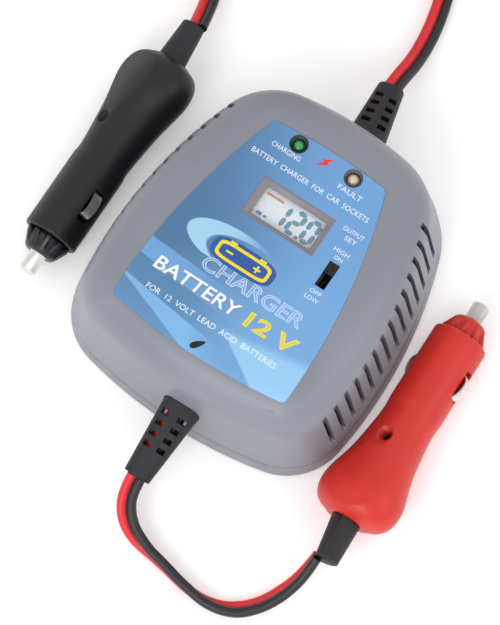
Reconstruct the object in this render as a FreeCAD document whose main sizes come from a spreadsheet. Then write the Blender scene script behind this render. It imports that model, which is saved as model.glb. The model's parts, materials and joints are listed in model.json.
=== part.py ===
import FreeCAD, Part
import Sketcher

import math
import os
import re
from types import SimpleNamespace

# A car battery charger: a rounded two-shell case with a display, two lamps and a slide switch, and a
# twin lead out of each end to a 12 V vehicle plug. Millimetres, +Z up. The origin is under the middle
# of the case, on the surface that it stands on. +Y points to the lamp end and +X to the switch side.

SIZES = {
    # case
    "case_width": 115.6,
    "case_length": 127.4,
    "case_height": 48.0,
    "wall": 2.5,
    "side_curve": 174.0,
    "widest_place": -17.0,
    "near_curve": 172.0,
    "far_curve": 140.0,
    "near_corner": 25.0,
    "far_corner": 32.0,
    "side_draw": 1.9,
    "edge_roll": 15.0,
    "base_height": 11.0,
    "base_roll": 2.5,
    "joint_step": 0.4,
    "tongue_height": 2.0,
    "tongue_thickness": 1.1,
    "joint_gap": 0.15,
    # case screws
    "near_post_spread": 76.0,
    "near_post_place": -47.0,
    "far_post_spread": 66.0,
    "far_post_place": 45.0,
    "post_radius": 4.0,
    "screw_radius": 1.4,
    "screw_hole_gap": 0.3,
    "screw_head_radius": 2.8,
    "screw_head_height": 2.0,
    "screw_length": 20.0,
    "screw_recess": 5.0,
    # vents
    "vent_count": 14.0,
    "vent_width": 2.2,
    "vent_pitch": 5.86,
    "vent_first": -38.95,
    "vent_reach": 50.0,
    "vent_middle": -19.15,
    "vent_curve": 147.0,
    "vent_floor": 16.5,
    # label
    "label_place": -2.15,
    "label_length": 83.0,
    "label_near_width": 71.0,
    "label_middle_width": 66.4,
    "label_far_width": 46.0,
    "label_near_bulge": 2.8,
    "label_far_bulge": 1.2,
    "label_corner": 2.0,
    "label_thickness": 0.3,
    # display
    "display_place": 12.9,
    "bezel_length": 29.5,
    "bezel_width": 15.5,
    "bezel_depth": 1.6,
    "window_length": 24.5,
    "window_width": 11.5,
    "lens_margin": 2.0,
    "lens_thickness": 1.2,
    "lcd_thickness": 2.8,
    "inner_gap": 0.3,
    # lamps
    "lamp_spread": 22.6,
    "lamp_place": 36.65,
    "lamp_radius": 2.5,
    "lamp_length": 8.6,
    "lamp_sink": 0.3,
    "lamp_gap": 0.15,
    "lamp_ring_radius": 3.45,
    "lamp_ring_depth": 0.8,
    "lamp_leg_spacing": 2.54,
    # switch
    "switch_x": 22.9,
    "switch_place": 2.35,
    "switch_slot_width": 4.0,
    "switch_slot_length": 10.2,
    "switch_travel": 5.4,
    "knob_width": 3.5,
    "knob_length": 4.3,
    "knob_rise": 0.5,
    # board
    "board_drop": 14.5,
    "board_thickness": 1.6,
    "board_width": 64.0,
    "board_length": 82.0,
    "board_place": -1.0,
    "board_post_spread": 54.0,
    "board_post_near": -36.0,
    "board_post_far": 27.0,
    "board_post_radius": 3.0,
    "core_radius": 11.0,
    "core_thickness": 4.0,
    "winding_turns": 16.0,
    "winding_wire": 0.6,
    "core_x": -14.0,
    "core_place": -17.0,
    # inner parts
    "sink_x": 21.0,
    "sink_place": -16.0,
    "sink_thickness": 3.0,
    "sink_length": 34.0,
    "sink_height": 22.0,
    "fin_count": 7.0,
    "fin_reach": 7.0,
    "fin_thickness": 1.4,
    "fin_pitch": 5.0,
    "fin_height": 20.0,
    "transistor_width": 10.0,
    "transistor_spread": 15.0,
    "transistor_body": 3.2,
    "transistor_body_height": 9.0,
    "transistor_tab": 1.3,
    "transistor_tab_height": 15.5,
    "pin_pitch": 2.54,
    "pin_drop": 4.0,
    "can_radius": 5.0,
    "can_height": 18.0,
    "can_groove": 0.8,
    "can_groove_depth": 0.4,
    "can_groove_drop": 3.2,
    "chip_x": 14.0,
    "chip_place": 23.0,
    "chip_length": 19.0,
    "chip_width": 6.4,
    "chip_thickness": 3.3,
    "chip_pins": 7.0,
    "terminal_width": 11.0,
    "terminal_length": 7.0,
    "terminal_height": 9.0,
    "terminal_way_drop": 6.0,
    "terminal_way_spread": 2.6,
    "terminal_near": -36.0,
    "terminal_far": 34.0,
    # lead outlets
    "outlet_x": 3.5,
    "outlet_height": 23.0,
    "relief_root_width": 14.4,
    "relief_root_thickness": 9.0,
    "relief_tip_width": 10.0,
    "relief_tip_thickness": 7.4,
    "relief_flange": 2.0,
    "core_width": 7.2,
    "wire_radius": 1.8,
    "outlet_gap": 0.1,
    # plugs, measured from the free end of the pin along the axis
    "pin_radius": 3.2,
    "pin_out": 7.5,
    "nose_end": 14.7,
    "nose_radius": 7.4,
    "rib_radius": 8.6,
    "rib_count": 10.0,
    "rib_width": 1.7,
    "skirt_radius": 7.0,
    "skirt_end": 22.5,
    "cap_bore": 5.0,
    "running_gap": 0.08,
    "barrel_radius": 10.35,
    "barrel_end": 46.0,
    "shoulder_roll": 1.1,
    "waist_depth": 0.25,
    "grip_half_width": 16.0,
    "grip_half_depth": 13.0,
    "grip_flat": 10.9,
    "plug_length": 92.4,
    "fuse_radius": 3.15,
    "fuse_start": 17.0,
    "fuse_length": 32.0,
    "fuse_bore": 4.2,
    "sleeve_radius": 4.95,
    "plug_screw_place": 61.0,
    "plug_screw_hole": 2.6,
    "plug_screw_gap": 0.2,
    "wire_spread": 6.2,
    "wire_start": 46.6,
    "room_start": 66.0,
    "rear_room_radius": 8.4,
    "contact_width": 4.0,
    "contact_thickness": 0.5,
    "contact_root": 45.0,
    "contact_proud": 1.45,
    "contact_inset": 1.35,
    "contact_gap": 0.3,
    "slot_start": 24.5,
    "slot_end": 37.0,
    "slot_room_end": 46.5,
    "boot_flange": 1.7,
    "boot_flange_place": 7.4,
    "boot_length": 16.0,
    "boot_root_radius": 5.5,
    "boot_tip_radius": 4.3,
    "boot_plug_radius": 4.0,
    # lead
    "lead_width": 7.2,
    "coil_radius": 40.2,
    "coil_bed": 1.0,
    "tie_width": 7.0,
    "tie_thickness": 0.8,
}

doc = FreeCAD.newDocument("car_battery_charger")
sheet = doc.addObject("Spreadsheet::Sheet", "Sizes")
for row, (word, number) in enumerate(SIZES.items(), 1):
    sheet.set(f"A{row}", word)
    sheet.set(f"B{row}", str(number))
    sheet.setAlias(f"B{row}", word)
doc.recompute()
size = SimpleNamespace(**{word: float(sheet.get(word)) for word in SIZES})

V = FreeCAD.Vector
X_AXIS, Y_AXIS, Z_AXIS = V(1, 0, 0), V(0, 1, 0), V(0, 0, 1)
TURNS = {
    "z": FreeCAD.Rotation(),
    "x": FreeCAD.Rotation(Y_AXIS, 90),
    "y": FreeCAD.Rotation(X_AXIS, -90),
}
sub_parts = []


# ---------------------------------------------------------------- helpers


def bound(text):
    """An expression on the sheet's cells, from plain words such as wall / 2."""
    def cell(found):
        word = found.group()
        return "Sizes." + word if word in SIZES else word

    return re.sub(r"[a-z]\w*", cell, str(text))


def bind(thing, **sizes):
    for name, text in sizes.items():
        thing.setExpression(name, bound(text))


def put(thing, x=0, y=0, z=0, rotation=None):
    """Binds a thing's place to expressions, and turns it."""
    if rotation:
        thing.Placement = FreeCAD.Placement(V(), rotation)
    for name, text in zip(("x", "y", "z"), (x, y, z)):
        thing.setExpression("Placement.Base." + name, bound(text))
    return thing


def box(name, length, width, height, x=0, y=0, z=0):
    """A box centred on x and y that stands on z."""
    thing = doc.addObject("Part::Box", name)
    bind(thing, Length=length, Width=width, Height=height)
    return put(thing, f"({x}) - ({length}) / 2", f"({y}) - ({width}) / 2", z)


def rod(name, radius, height, x=0, y=0, z=0, axis="z"):
    """A cylinder from its foot at x, y, z along an axis."""
    thing = doc.addObject("Part::Cylinder", name)
    bind(thing, Radius=radius, Height=height)
    return put(thing, x, y, z, TURNS[axis])


def cone(name, foot_radius, top_radius, height, x=0, y=0, z=0, axis="z"):
    thing = doc.addObject("Part::Cone", name)
    bind(thing, Radius1=foot_radius, Radius2=top_radius, Height=height)
    return put(thing, x, y, z, TURNS[axis])


def join(name, *things):
    thing = doc.addObject("Part::MultiFuse", name)
    thing.Shapes = list(things)
    return thing


def shared(name, *things):
    thing = doc.addObject("Part::MultiCommon", name)
    thing.Shapes = list(things)
    return thing


def cut(name, base, *tools):
    """base without the tools, which are joined first when there are several."""
    thing = doc.addObject("Part::Cut", name)
    thing.Base = base
    thing.Tool = tools[0] if len(tools) == 1 else join(name + "_tools", *tools)
    return thing


def group(name, *things):
    """Several separate solids as one sub-part."""
    thing = doc.addObject("Part::Compound", name)
    thing.Links = list(things)
    return thing


def made(name, shape, placement=None):
    """A sub-part or tool whose shape Part's own functions make."""
    thing = doc.addObject("Part::Feature", name)
    thing.Shape = shape
    if placement:
        thing.Placement = placement
    return thing


def sub_part(label, thing, placement=None):
    """Names a finished sub-part after its node."""
    thing.Label = label
    if placement:
        thing.Placement = placement
    sub_parts.append(thing)
    return thing


def origin_plane(body, role):
    return next(f for f in body.Origin.OriginFeatures if f.Role == role)


def sketch_on(body, name, role="XY_Plane", offset=0):
    """An empty sketch on one of a body's own planes, raised by an expression."""
    sketch = body.newObject("Sketcher::SketchObject", name)
    sketch.AttachmentSupport = [(origin_plane(body, role), "")]
    sketch.MapMode = "FlatFace"
    sketch.setExpression("AttachmentOffset.Base.z", bound(offset))
    return sketch


# ---------------------------------------------------------------- the case outline


def meeting(centre_a, reach_a, centre_b, reach_b):
    """The point right of centre_a at reach_a from one centre and reach_b from the other."""
    gap = centre_b - centre_a
    along = (reach_a**2 - reach_b**2 + gap.Length**2) / (2 * gap.Length)
    aside = math.sqrt(reach_a**2 - along**2)
    way = V(gap).normalize()
    ends = [centre_a + way * along + V(-way.y, way.x, 0) * aside * side for side in (1, -1)]
    return max(ends, key=lambda p: p.x)


def outline_circles():
    """(centre, radius) of the outline's eight arcs, anticlockwise from the near end."""
    near = V(0, size.near_curve - size.case_length / 2, 0)
    far = V(0, size.case_length / 2 - size.far_curve, 0)
    right = V(size.case_width / 2 - size.side_curve, size.widest_place, 0)
    near_right = meeting(near, size.near_curve - size.near_corner, right,
                         size.side_curve - size.near_corner)
    far_right = meeting(far, size.far_curve - size.far_corner, right, size.side_curve - size.far_corner)

    def left_of(p):
        return V(-p.x, p.y, 0)

    return [
        (near, size.near_curve),
        (near_right, size.near_corner),
        (right, size.side_curve),
        (far_right, size.far_corner),
        (far, size.far_curve),
        (left_of(far_right), size.far_corner),
        (left_of(right), size.side_curve),
        (left_of(near_right), size.near_corner),
    ]


def bearing(start, end):
    return math.atan2(end.y - start.y, end.x - start.x)


def outline_arcs(inset):
    """The outline drawn in by inset, as eight arcs that run into each other."""
    circles = outline_circles()
    arcs = []
    for place, (centre, radius) in enumerate(circles):
        before, after = circles[place - 1], circles[(place + 1) % len(circles)]
        # two arcs meet on the line through their centres, beyond the centre of the smaller one
        ends = [bearing(centre, c) if r < radius else bearing(c, centre) for c, r in (before, after)]
        first, last = ends[0], ends[1]
        while last < first:
            last += 2 * math.pi
        arcs.append(Part.ArcOfCircle(Part.Circle(centre, Z_AXIS, radius - inset), first, last))
    return arcs


OUTLINE_RADII = [
    "near_curve", "near_corner", "side_curve", "far_corner",
    "far_curve", "far_corner", "side_curve", "near_corner",
]


def outline_sketch(body, name, inset, height):
    """The case outline at a height, as a sketch. The walls lean in by side_draw over the base's height.

    Its arcs are tangent, and its radii and centres are bound."""
    sketch = sketch_on(body, name, offset=height)
    doc.recompute()
    level = sketch.AttachmentOffset.Base.z
    drawn_in = sum(sign * getattr(size, word) for sign,
                   word in inset) + level * size.side_draw / size.base_height
    text = " ".join(f"{'-' if sign > 0 else '+'} {word}" for sign, word in inset)
    text += f" - ({height}) * side_draw / base_height"
    sketch.addGeometry(outline_arcs(drawn_in), False)
    for place in range(8):
        sketch.addConstraint(Sketcher.Constraint("Tangent", place, 2, (place + 1) % 8, 1))
    for place, word in enumerate(OUTLINE_RADII):
        number = sketch.addConstraint(Sketcher.Constraint("Radius", place,
                                                          getattr(size, word) - drawn_in))
        sketch.setExpression(f"Constraints[{number}]", bound(f"{word} {text}"))
    centres = {
        0: ("0", "near_curve - case_length / 2"),
        4: ("0", "case_length / 2 - far_curve"),
        2: ("case_width / 2 - side_curve", "widest_place"),
        6: ("side_curve - case_width / 2", "widest_place"),
    }
    circles = outline_circles()
    for place, (x, y) in centres.items():
        centre = circles[place][0]
        if x == "0":
            sketch.addConstraint(Sketcher.Constraint("PointOnObject", place, 3, -2))
        else:
            number = sketch.addConstraint(Sketcher.Constraint("DistanceX", -1, 1, place, 3, centre.x))
            sketch.setExpression(f"Constraints[{number}]", bound(x))
        number = sketch.addConstraint(Sketcher.Constraint("DistanceY", -1, 1, place, 3, centre.y))
        sketch.setExpression(f"Constraints[{number}]", bound(y))
    return sketch


def flat_face(shape, height):
    """The name of a shape's level face at a height."""
    for place, face in enumerate(shape.Faces, 1):
        level = isinstance(face.Surface, Part.Plane) and abs(face.normalAt(0, 0).z) > 0.999
        if level and abs(face.CenterOfMass.z - height) < 0.01:
            return f"Face{place}"
    raise RuntimeError("no level face at that height")


def outline_body(name, inset, bottom, top):
    """A solid of the outline from bottom to top, with leaning walls and square rims."""
    body = doc.addObject("PartDesign::Body", name)
    pad = body.newObject("PartDesign::Pad", name + "_pad")
    pad.Profile = outline_sketch(body, name + "_outline", inset, bottom)
    bind(pad, Length=f"({top}) - ({bottom})", TaperAngle="-atan(side_draw / base_height)")
    doc.recompute()
    return body


def rolled_body(name, inset, bottom, top, roll, rolled="top"):
    """The same solid with one rim rolled over."""
    body = outline_body(name, inset, bottom, top)
    pad = body.Tip
    height = pad.Shape.BoundBox.ZMax if rolled == "top" else pad.Shape.BoundBox.ZMin
    fillet = body.newObject("PartDesign::Fillet", name + "_roll")
    fillet.Base = (pad, [flat_face(pad.Shape, height)])
    bind(fillet, Radius=roll)
    doc.recompute()
    return body


# ---------------------------------------------------------------- case shells

TOP = "case_height"
UNDER_TOP = "case_height - wall"
BOARD_TOP = "case_height - board_drop"
BOARD_UNDER = "case_height - board_drop - board_thickness"
CASE_POSTS = [
    ("near_right", "near_post_spread / 2", "near_post_place"),
    ("near_left", "-near_post_spread / 2", "near_post_place"),
    ("far_right", "far_post_spread / 2", "far_post_place"),
    ("far_left", "-far_post_spread / 2", "far_post_place"),
]
BOARD_POSTS = [
    ("near_right", "board_post_spread / 2", "board_post_near"),
    ("near_left", "-board_post_spread / 2", "board_post_near"),
    ("far_right", "board_post_spread / 2", "board_post_far"),
    ("far_left", "-board_post_spread / 2", "board_post_far"),
]
LAMPS = [("right", "lamp_spread / 2"), ("left", "-lamp_spread / 2")]


def vent_tools():
    """Slots through both rolled edges. Their inner ends follow one shallow arc."""
    tools = []
    for place in range(int(size.vent_count)):
        y = f"(vent_first + {place} * vent_pitch)"
        inner = f"(vent_reach - ({y} - vent_middle) * ({y} - vent_middle) / (2 * vent_curve))"
        depth = "case_width"
        for side, sign in (("right", ""), ("left", "-")):
            x = f"{sign}({inner} + {depth} / 2)"
            tools.append(box(f"vent_{side}_{place}", depth, "vent_width", "case_height", x, y,
                             "vent_floor"))
    return tools


def sloped_recess():
    """The sunk frame round the display, wide at the top and narrow at the window."""
    shape = Part.makeLoft(
        [rectangle(size.bezel_length, size.bezel_width, size.case_height + size.label_thickness),
         rectangle(size.window_length, size.window_width,
                   size.case_height - size.bezel_depth)], True, True)
    recess = made("display_recess", shape)
    return put(recess, 0, "display_place", 0)


def rectangle(length, width, height):
    corners = [V(sx * length / 2, sy * width / 2, height) for sx,
               sy in ((-1, -1), (1, -1), (1, 1), (-1, 1))]
    return Part.makePolygon(corners + corners[:1])


def rounded(width, height, corner):
    """A rounded rectangle's wire in the XZ plane, centred on the origin."""
    side, rise = width / 2 - corner, height / 2 - corner
    edges = []
    for sx, sz, start in ((1, 1, 0), (-1, 1, 90), (-1, -1, 180), (1, -1, 270)):
        centre = V(sx * side, 0, sz * rise)
        turn = [math.radians(start + step) for step in (0, 45, 90)]
        edges.append([centre + V(math.cos(a), 0, math.sin(a)) * corner for a in turn])
    wire = []
    for place, arc in enumerate(edges):
        wire.append(Part.Arc(*arc).toShape())
        start, end = arc[2], edges[(place + 1) % 4][0]
        if (end - start).Length > 1e-6:
            wire.append(Part.LineSegment(start, end).toShape())
    return Part.Wire(wire)


def outlet_tools():
    """The two rounded openings that the strain reliefs' necks fill."""
    width = size.relief_root_width + 2 * size.outlet_gap
    height = size.relief_root_thickness + 2 * size.outlet_gap
    face = Part.Face(rounded(width, height, height * 0.45))
    tools = []
    for name, sign in (("lower", -1), ("upper", 1)):
        reach = size.case_length / 2 - 5 * size.wall
        shape = face.copy()
        shape.translate(V(0, sign * reach, 0))
        tool = made(f"{name}_outlet", shape.extrude(V(0, sign * 7 * size.wall, 0)))
        tools.append(put(tool, "outlet_x", 0, "outlet_height"))
    return tools


def upper_shell():
    outer = rolled_body("upper_outside", [], "base_height", TOP, "edge_roll")
    cavity = rolled_body("upper_inside", [(1, "wall")], "base_height - 1", UNDER_TOP, "edge_roll - wall")
    posts = []
    for name, x, y in CASE_POSTS:
        posts.append(rod(f"case_post_{name}", "post_radius", "case_height - base_height", x, y,
                         "base_height"))
    for name, x, y in BOARD_POSTS:
        posts.append(rod(f"board_post_{name}", "board_post_radius", "board_drop - wall / 2", x, y,
                         BOARD_TOP))
    kept = shared("posts_inside", join("posts", *posts), outer)
    walls = join("upper_walls", cut("upper_wall", outer, cavity), kept)
    tools = vent_tools() + outlet_tools() + [sloped_recess()]
    tools.append(box("display_window", "window_length", "window_width", "2 * wall", 0, "display_place",
                     f"{UNDER_TOP} - wall"))
    tools.append(box("switch_window", "switch_slot_width", "switch_slot_length", "2 * wall", "switch_x",
                     "switch_place",
                     f"{UNDER_TOP} - wall / 2"))
    for side, x in LAMPS:
        tools.append(rod(f"lamp_hole_{side}", "lamp_radius + lamp_gap", "2 * wall", x, "lamp_place",
                         f"{UNDER_TOP} - wall / 2"))
        tools.append(rod(f"lamp_ring_{side}", "lamp_ring_radius", "wall", x, "lamp_place",
                         f"{TOP} - lamp_ring_depth"))
    for name, x, y in CASE_POSTS:
        tools.append(rod(f"case_pilot_{name}", "screw_radius", "screw_length", x, y, "base_height - 1"))
    for name, x, y in BOARD_POSTS:
        tools.append(rod(f"board_pilot_{name}", "screw_radius * 0.7", "6", x, y, f"{BOARD_TOP} - 1"))
    sub_part("upper_shell", cut("upper_shell", walls, *tools))


def lower_shell():
    step, seat = (1, "joint_step"), [(1, "wall"), (1, "joint_gap")]
    outer = rolled_body("lower_outside", [step], 0, "base_height", "base_roll", "bottom")
    cavity = rolled_body("lower_inside", [step, (1, "wall")], "wall", "base_height + 1", "base_roll / 2",
                         "bottom")
    tongue_top = "base_height + tongue_height"
    tongue_out = outline_body("tongue_outside", seat, "base_height - 1", tongue_top)
    tongue_in = outline_body("tongue_inside", seat + [(1, "tongue_thickness")], "base_height - 2",
                             tongue_top + " + 1")
    inside = outline_body("under_tongue", [step], "wall", tongue_top)
    tongue = shared("tongue_kept", cut("tongue", tongue_out, tongue_in), inside)
    posts = []
    tools = []
    for name, x, y in CASE_POSTS:
        posts.append(rod(f"lower_post_{name}", "post_radius + 1", "base_height", x, y, 0))
        tools.append(rod(f"screw_way_{name}", "screw_radius + screw_hole_gap", "base_height + 2", x, y,
                         -1))
        tools.append(rod(f"screw_recess_{name}", "screw_head_radius + screw_hole_gap", "screw_recess + 1",
                         x, y, -1))
    kept = shared("lower_posts_kept", join("lower_posts", *posts), outer)
    walls = join("lower_walls", cut("lower_wall", outer, cavity), kept, tongue)
    sub_part("lower_shell", cut("lower_shell", walls, *tools))


def case_screws():
    screws = []
    for name, x, y in CASE_POSTS:
        head = rod(f"case_screw_head_{name}", "screw_head_radius", "screw_head_height", x, y,
                   "screw_recess - screw_head_height")
        shank = rod(f"case_screw_shank_{name}", "screw_radius", "screw_length - 1", x, y,
                    "screw_recess - 1")
        cross = [box(f"case_screw_{way}_{name}", a, b, "screw_head_height / 2", x, y,
                     "screw_recess - screw_head_height")
                 for way, a, b in (("bar", "3.2", "0.7"), ("post", "0.7", "3.2"))]
        screws.append(cut(f"case_screw_{name}", join(f"case_screw_solid_{name}", head, shank), *cross))
    sub_part("case_screws", group("case_screws", *screws))


# ---------------------------------------------------------------- front


def label_prism():
    """An upright block of the label's plan: four shallow arcs, with rounded corners."""
    near, far = -size.label_length / 2, size.label_length / 2
    wide, narrow = size.label_near_width / 2, size.label_far_width / 2
    middle = size.label_middle_width / 2
    near_left, near_right, far_right, far_left = V(-wide, near), V(wide, near), V(narrow, far), V(-narrow,
                                                                                                  far)
    arcs = [
        Part.Arc(near_left, V(0, near - size.label_near_bulge), near_right),
        Part.Arc(near_right, V(middle, 0), far_right),
        Part.Arc(far_right, V(0, far + size.label_far_bulge), far_left),
        Part.Arc(far_left, V(-middle, 0), near_left),
    ]
    prism = Part.Face(Part.Wire([arc.toShape() for arc in arcs])).extrude(Z_AXIS * 2 * size.case_height)
    uprights = [e for e in prism.Edges if isinstance(e.Curve, Part.Line)]
    return prism.makeFillet(size.label_corner, uprights)


def front_label():
    """A thin skin over the top, tapered in plan, with the openings of what shows through it."""
    skin = rolled_body("label_skin", [(-1, "label_thickness")], "base_height",
                       "case_height + label_thickness",
                        "edge_roll + label_thickness")
    area = put(made("label_area", label_prism()), 0, "label_place", 0)
    outside = doc.getObject("upper_outside")
    tools = [outside]
    tools.append(box("label_display", "bezel_length", "bezel_width", "2 * wall", 0, "display_place",
                     f"{TOP} - wall"))
    tools.append(box("label_switch", "switch_slot_width", "switch_slot_length", "2 * wall", "switch_x",
                     "switch_place",
                     f"{TOP} - wall"))
    for side, x in LAMPS:
        tools.append(rod(f"label_lamp_{side}", "lamp_ring_radius", "2 * wall", x, "lamp_place",
                         f"{TOP} - wall"))
    sub_part("front_label", cut("front_label", shared("label_blank", skin, area), *tools))


def display():
    """Clear lens, LCD glass, its holder on the board and the two contact strips."""
    lens_length, lens_width = "window_length + 2 * lens_margin", "window_width + 2 * lens_margin"
    lens_foot = f"{UNDER_TOP} - lens_thickness"
    sub_part("display_lens", box("display_lens", lens_length, lens_width, "lens_thickness", 0,
                                 "display_place", lens_foot))
    lcd_foot = f"{lens_foot} - inner_gap - lcd_thickness"
    sub_part("lcd_panel", box("lcd_panel", lens_length, lens_width, "lcd_thickness", 0, "display_place",
                              lcd_foot))
    height = f"{lcd_foot} + lcd_thickness - ({BOARD_TOP})"
    rim = box("lcd_holder_rim", f"{lens_length} + 4", f"{lens_width} + 4", height, 0, "display_place",
              BOARD_TOP)
    seat = box("lcd_seat", f"{lens_length} + 0.1", f"{lens_width} + 0.1", "2 * lcd_thickness", 0,
               "display_place", lcd_foot)
    well = box("lcd_well", lens_length, f"{lens_width} - 1", height, 0, "display_place",
               f"{BOARD_TOP} - 1")
    sub_part("lcd_holder", cut("lcd_holder", rim, seat, well))
    strips = []
    for side, sign in (("near", "-"), ("far", "+")):
        y = f"display_place {sign} (({lens_width}) / 2 - 1.6)"
        strips.append(box(f"lcd_strip_{side}", f"{lens_length} - 3", "1.8", f"{lcd_foot} - ({BOARD_TOP})",
                          0, y, BOARD_TOP))
    sub_part("lcd_contact_strips", group("lcd_contact_strips", *strips))


def lamps():
    """Two 5 mm LEDs, each a domed body on a flange with two legs down to the board, on a spacer."""
    foot = f"{TOP} - lamp_sink - lamp_length"
    spacers = []
    for side, x in LAMPS:
        node = "led_fault" if side == "right" else "led_charging"
        body = rod(f"{node}_body", "lamp_radius", "lamp_length - lamp_radius", x, "lamp_place", foot)
        dome = doc.addObject("Part::Sphere", f"{node}_dome")
        bind(dome, Radius="lamp_radius")
        put(dome, x, "lamp_place", f"{foot} + lamp_length - lamp_radius")
        flange = rod(f"{node}_flange", "lamp_radius + 0.4", "1", x, "lamp_place", foot)
        legs = [box(f"{node}_leg_{way}", "0.5", "0.5", f"{foot} - ({BOARD_TOP}) + 0.2",
                    f"{x} {way} lamp_leg_spacing / 2",
                    "lamp_place", BOARD_TOP) for way in ("+", "-")]
        for leg, word in zip(legs, ("right", "left")):
            leg.Label = f"{node}_leg_{word}"
        sub_part(node, join(node, body, dome, flange, *legs))
        tube = rod(f"{node}_spacer_tube", "lamp_radius + 0.4", f"{foot} - ({BOARD_TOP})", x, "lamp_place",
                   BOARD_TOP)
        way = rod(f"{node}_spacer_way", "lamp_leg_spacing / 2 + 0.5", "lamp_length", x, "lamp_place",
                  f"{BOARD_TOP} - 1")
        spacers.append(cut(f"{node}_spacer", tube, way))
    sub_part("led_spacers", group("led_spacers", *spacers))


def slide_switch():
    """A switch body on the board, under its opening, and the knob that slides in it."""
    height = f"{UNDER_TOP} - inner_gap - ({BOARD_TOP})"
    roof = f"{UNDER_TOP} - inner_gap"
    body = box("switch_block", "switch_slot_width + 5", "switch_slot_length + 6", height, "switch_x",
               "switch_place", BOARD_TOP)
    way = box("switch_way", "knob_width - 1", "switch_slot_length - 1", "6", "switch_x", "switch_place",
              f"{roof} - 5")
    sub_part("switch_body", cut("switch_body", body, way))
    y = "switch_place + switch_travel / 2"
    stem = box("knob_stem", "knob_width - 1 - 0.1", "knob_length - 1.4", "5", "switch_x", y,
               f"{roof} - 4")
    cap = box("knob_cap", "knob_width", "knob_length", f"{TOP} + knob_rise - ({roof}) - 0.05", "switch_x",
              y, f"{roof} + 0.05")
    ridges = [box(f"knob_groove_{step}", "knob_width + 1", "0.45", "1", "switch_x",
                  f"{y} + {step - 1.5} * 0.95",
                  f"{TOP} + knob_rise - 0.45") for step in range(4)]
    sub_part("switch_knob", cut("switch_knob", join("knob_solid", stem, cap), *ridges))


# ---------------------------------------------------------------- electronics


def main_board():
    board = box("board_blank", "board_width", "board_length", "board_thickness", 0, "board_place",
                BOARD_UNDER)
    holes = [rod(f"board_hole_{name}", "screw_radius", "board_thickness + 2", x, y, f"{BOARD_UNDER} - 1")
             for name, x, y in BOARD_POSTS]
    sub_part("main_board", cut("main_board", board, *holes))
    screws = []
    for name, x, y in BOARD_POSTS:
        head = rod(f"board_screw_head_{name}", "screw_head_radius", "1.6", x, y, f"{BOARD_UNDER} - 1.6")
        shank = rod(f"board_screw_shank_{name}", "screw_radius * 0.7", "board_thickness + 5", x, y,
                    f"{BOARD_UNDER} - 0.5")
        screws.append(join(f"board_screw_{name}", head, shank))
    sub_part("board_screws", group("board_screws", *screws))


def hanging(name, length, width, height, x, y, gap=0):
    """A box that hangs under the board, or a gap below it."""
    return box(name, length, width, height, x, y, f"{BOARD_UNDER} - {gap} - ({height})")


def heat_sink():
    """An upright plate with a row of fins on its outer face."""
    plate = hanging("sink_plate", "sink_thickness", "sink_length", "sink_height", "sink_x", "sink_place")
    fins = []
    for step in range(int(size.fin_count)):
        y = f"sink_place + ({step} - (fin_count - 1) / 2) * fin_pitch"
        x = "sink_x + (sink_thickness + fin_reach) / 2 - 0.5"
        fins.append(hanging(f"sink_fin_{step}", "fin_reach", "fin_thickness", "fin_height", x, y))
    sub_part("heat_sink", join("heat_sink", plate, *fins))


def power_transistors():
    """Two transistors that lie against the heat sink, each with a metal tab, a body and three legs."""
    sink_face = "sink_x - sink_thickness / 2"
    packages = []
    for word, sign in (("near", "-"), ("far", "+")):
        y = f"sink_place {sign} transistor_spread / 2"
        tab = hanging(f"transistor_tab_{word}", "transistor_tab", "transistor_width",
                      "transistor_tab_height",
                      f"{sink_face} - transistor_tab / 2", y, "pin_drop")
        body_x = f"{sink_face} - transistor_tab - transistor_body / 2"
        body = hanging(f"transistor_body_{word}", "transistor_body", "transistor_width",
                       "transistor_body_height", body_x, y, "pin_drop")
        legs = []
        for step in (-1, 0, 1):
            leg_name = f"transistor_leg_{word}_{step + 1}"
            leg_x = f"{sink_face} - transistor_tab - 0.9"
            legs.append(hanging(leg_name, 0.6, 0.8, "pin_drop + 0.5", leg_x, f"{y} + {step} * pin_pitch"))
        packages.append(join(f"transistor_{word}", tab, body, *legs))
    sub_part("power_transistors", group("power_transistors", *packages))


def capacitors():
    """Three cans that hang under the board, each with the rolled groove near its foot."""
    cans = []
    for word, x, y in (("first", -22, 13), ("second", -9, 15), ("third", 4, 13)):
        can = rod(f"can_{word}", "can_radius", "can_height", x, y, f"{BOARD_UNDER} - can_height")
        foot = f"{BOARD_UNDER} - can_groove_drop"
        around = rod(f"can_ring_out_{word}", "can_radius + 1", "can_groove", x, y, foot)
        kept = rod(f"can_ring_in_{word}", "can_radius - can_groove_depth", "3 * can_groove", x, y,
                   f"{foot} - can_groove")
        cans.append(cut(f"capacitor_{word}", can, cut(f"can_groove_{word}", around, kept)))
    sub_part("capacitors", group("capacitors", *cans))


def choke():
    """A ring core and its separate wound turns, flat under the board."""
    middle = f"{BOARD_UNDER} - core_thickness - 3 * winding_wire"
    core = doc.addObject("Part::Torus", "toroid_core")
    bind(core, Radius1="core_radius", Radius2="core_thickness")
    put(core, "core_x", "core_place", middle)
    sub_part("toroid_core", core)
    turns = []
    loop = size.core_thickness + 0.1 + size.winding_wire
    for place in range(int(size.winding_turns)):
        angle = 2 * math.pi * place / size.winding_turns
        away = V(math.cos(angle), math.sin(angle), 0)
        turns.append(Part.makeTorus(loop, size.winding_wire, away * size.core_radius, away.cross(Z_AXIS)))
    winding = made("toroid_winding", Part.makeCompound(turns))
    sub_part("toroid_winding", put(winding, "core_x", "core_place", middle))


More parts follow.
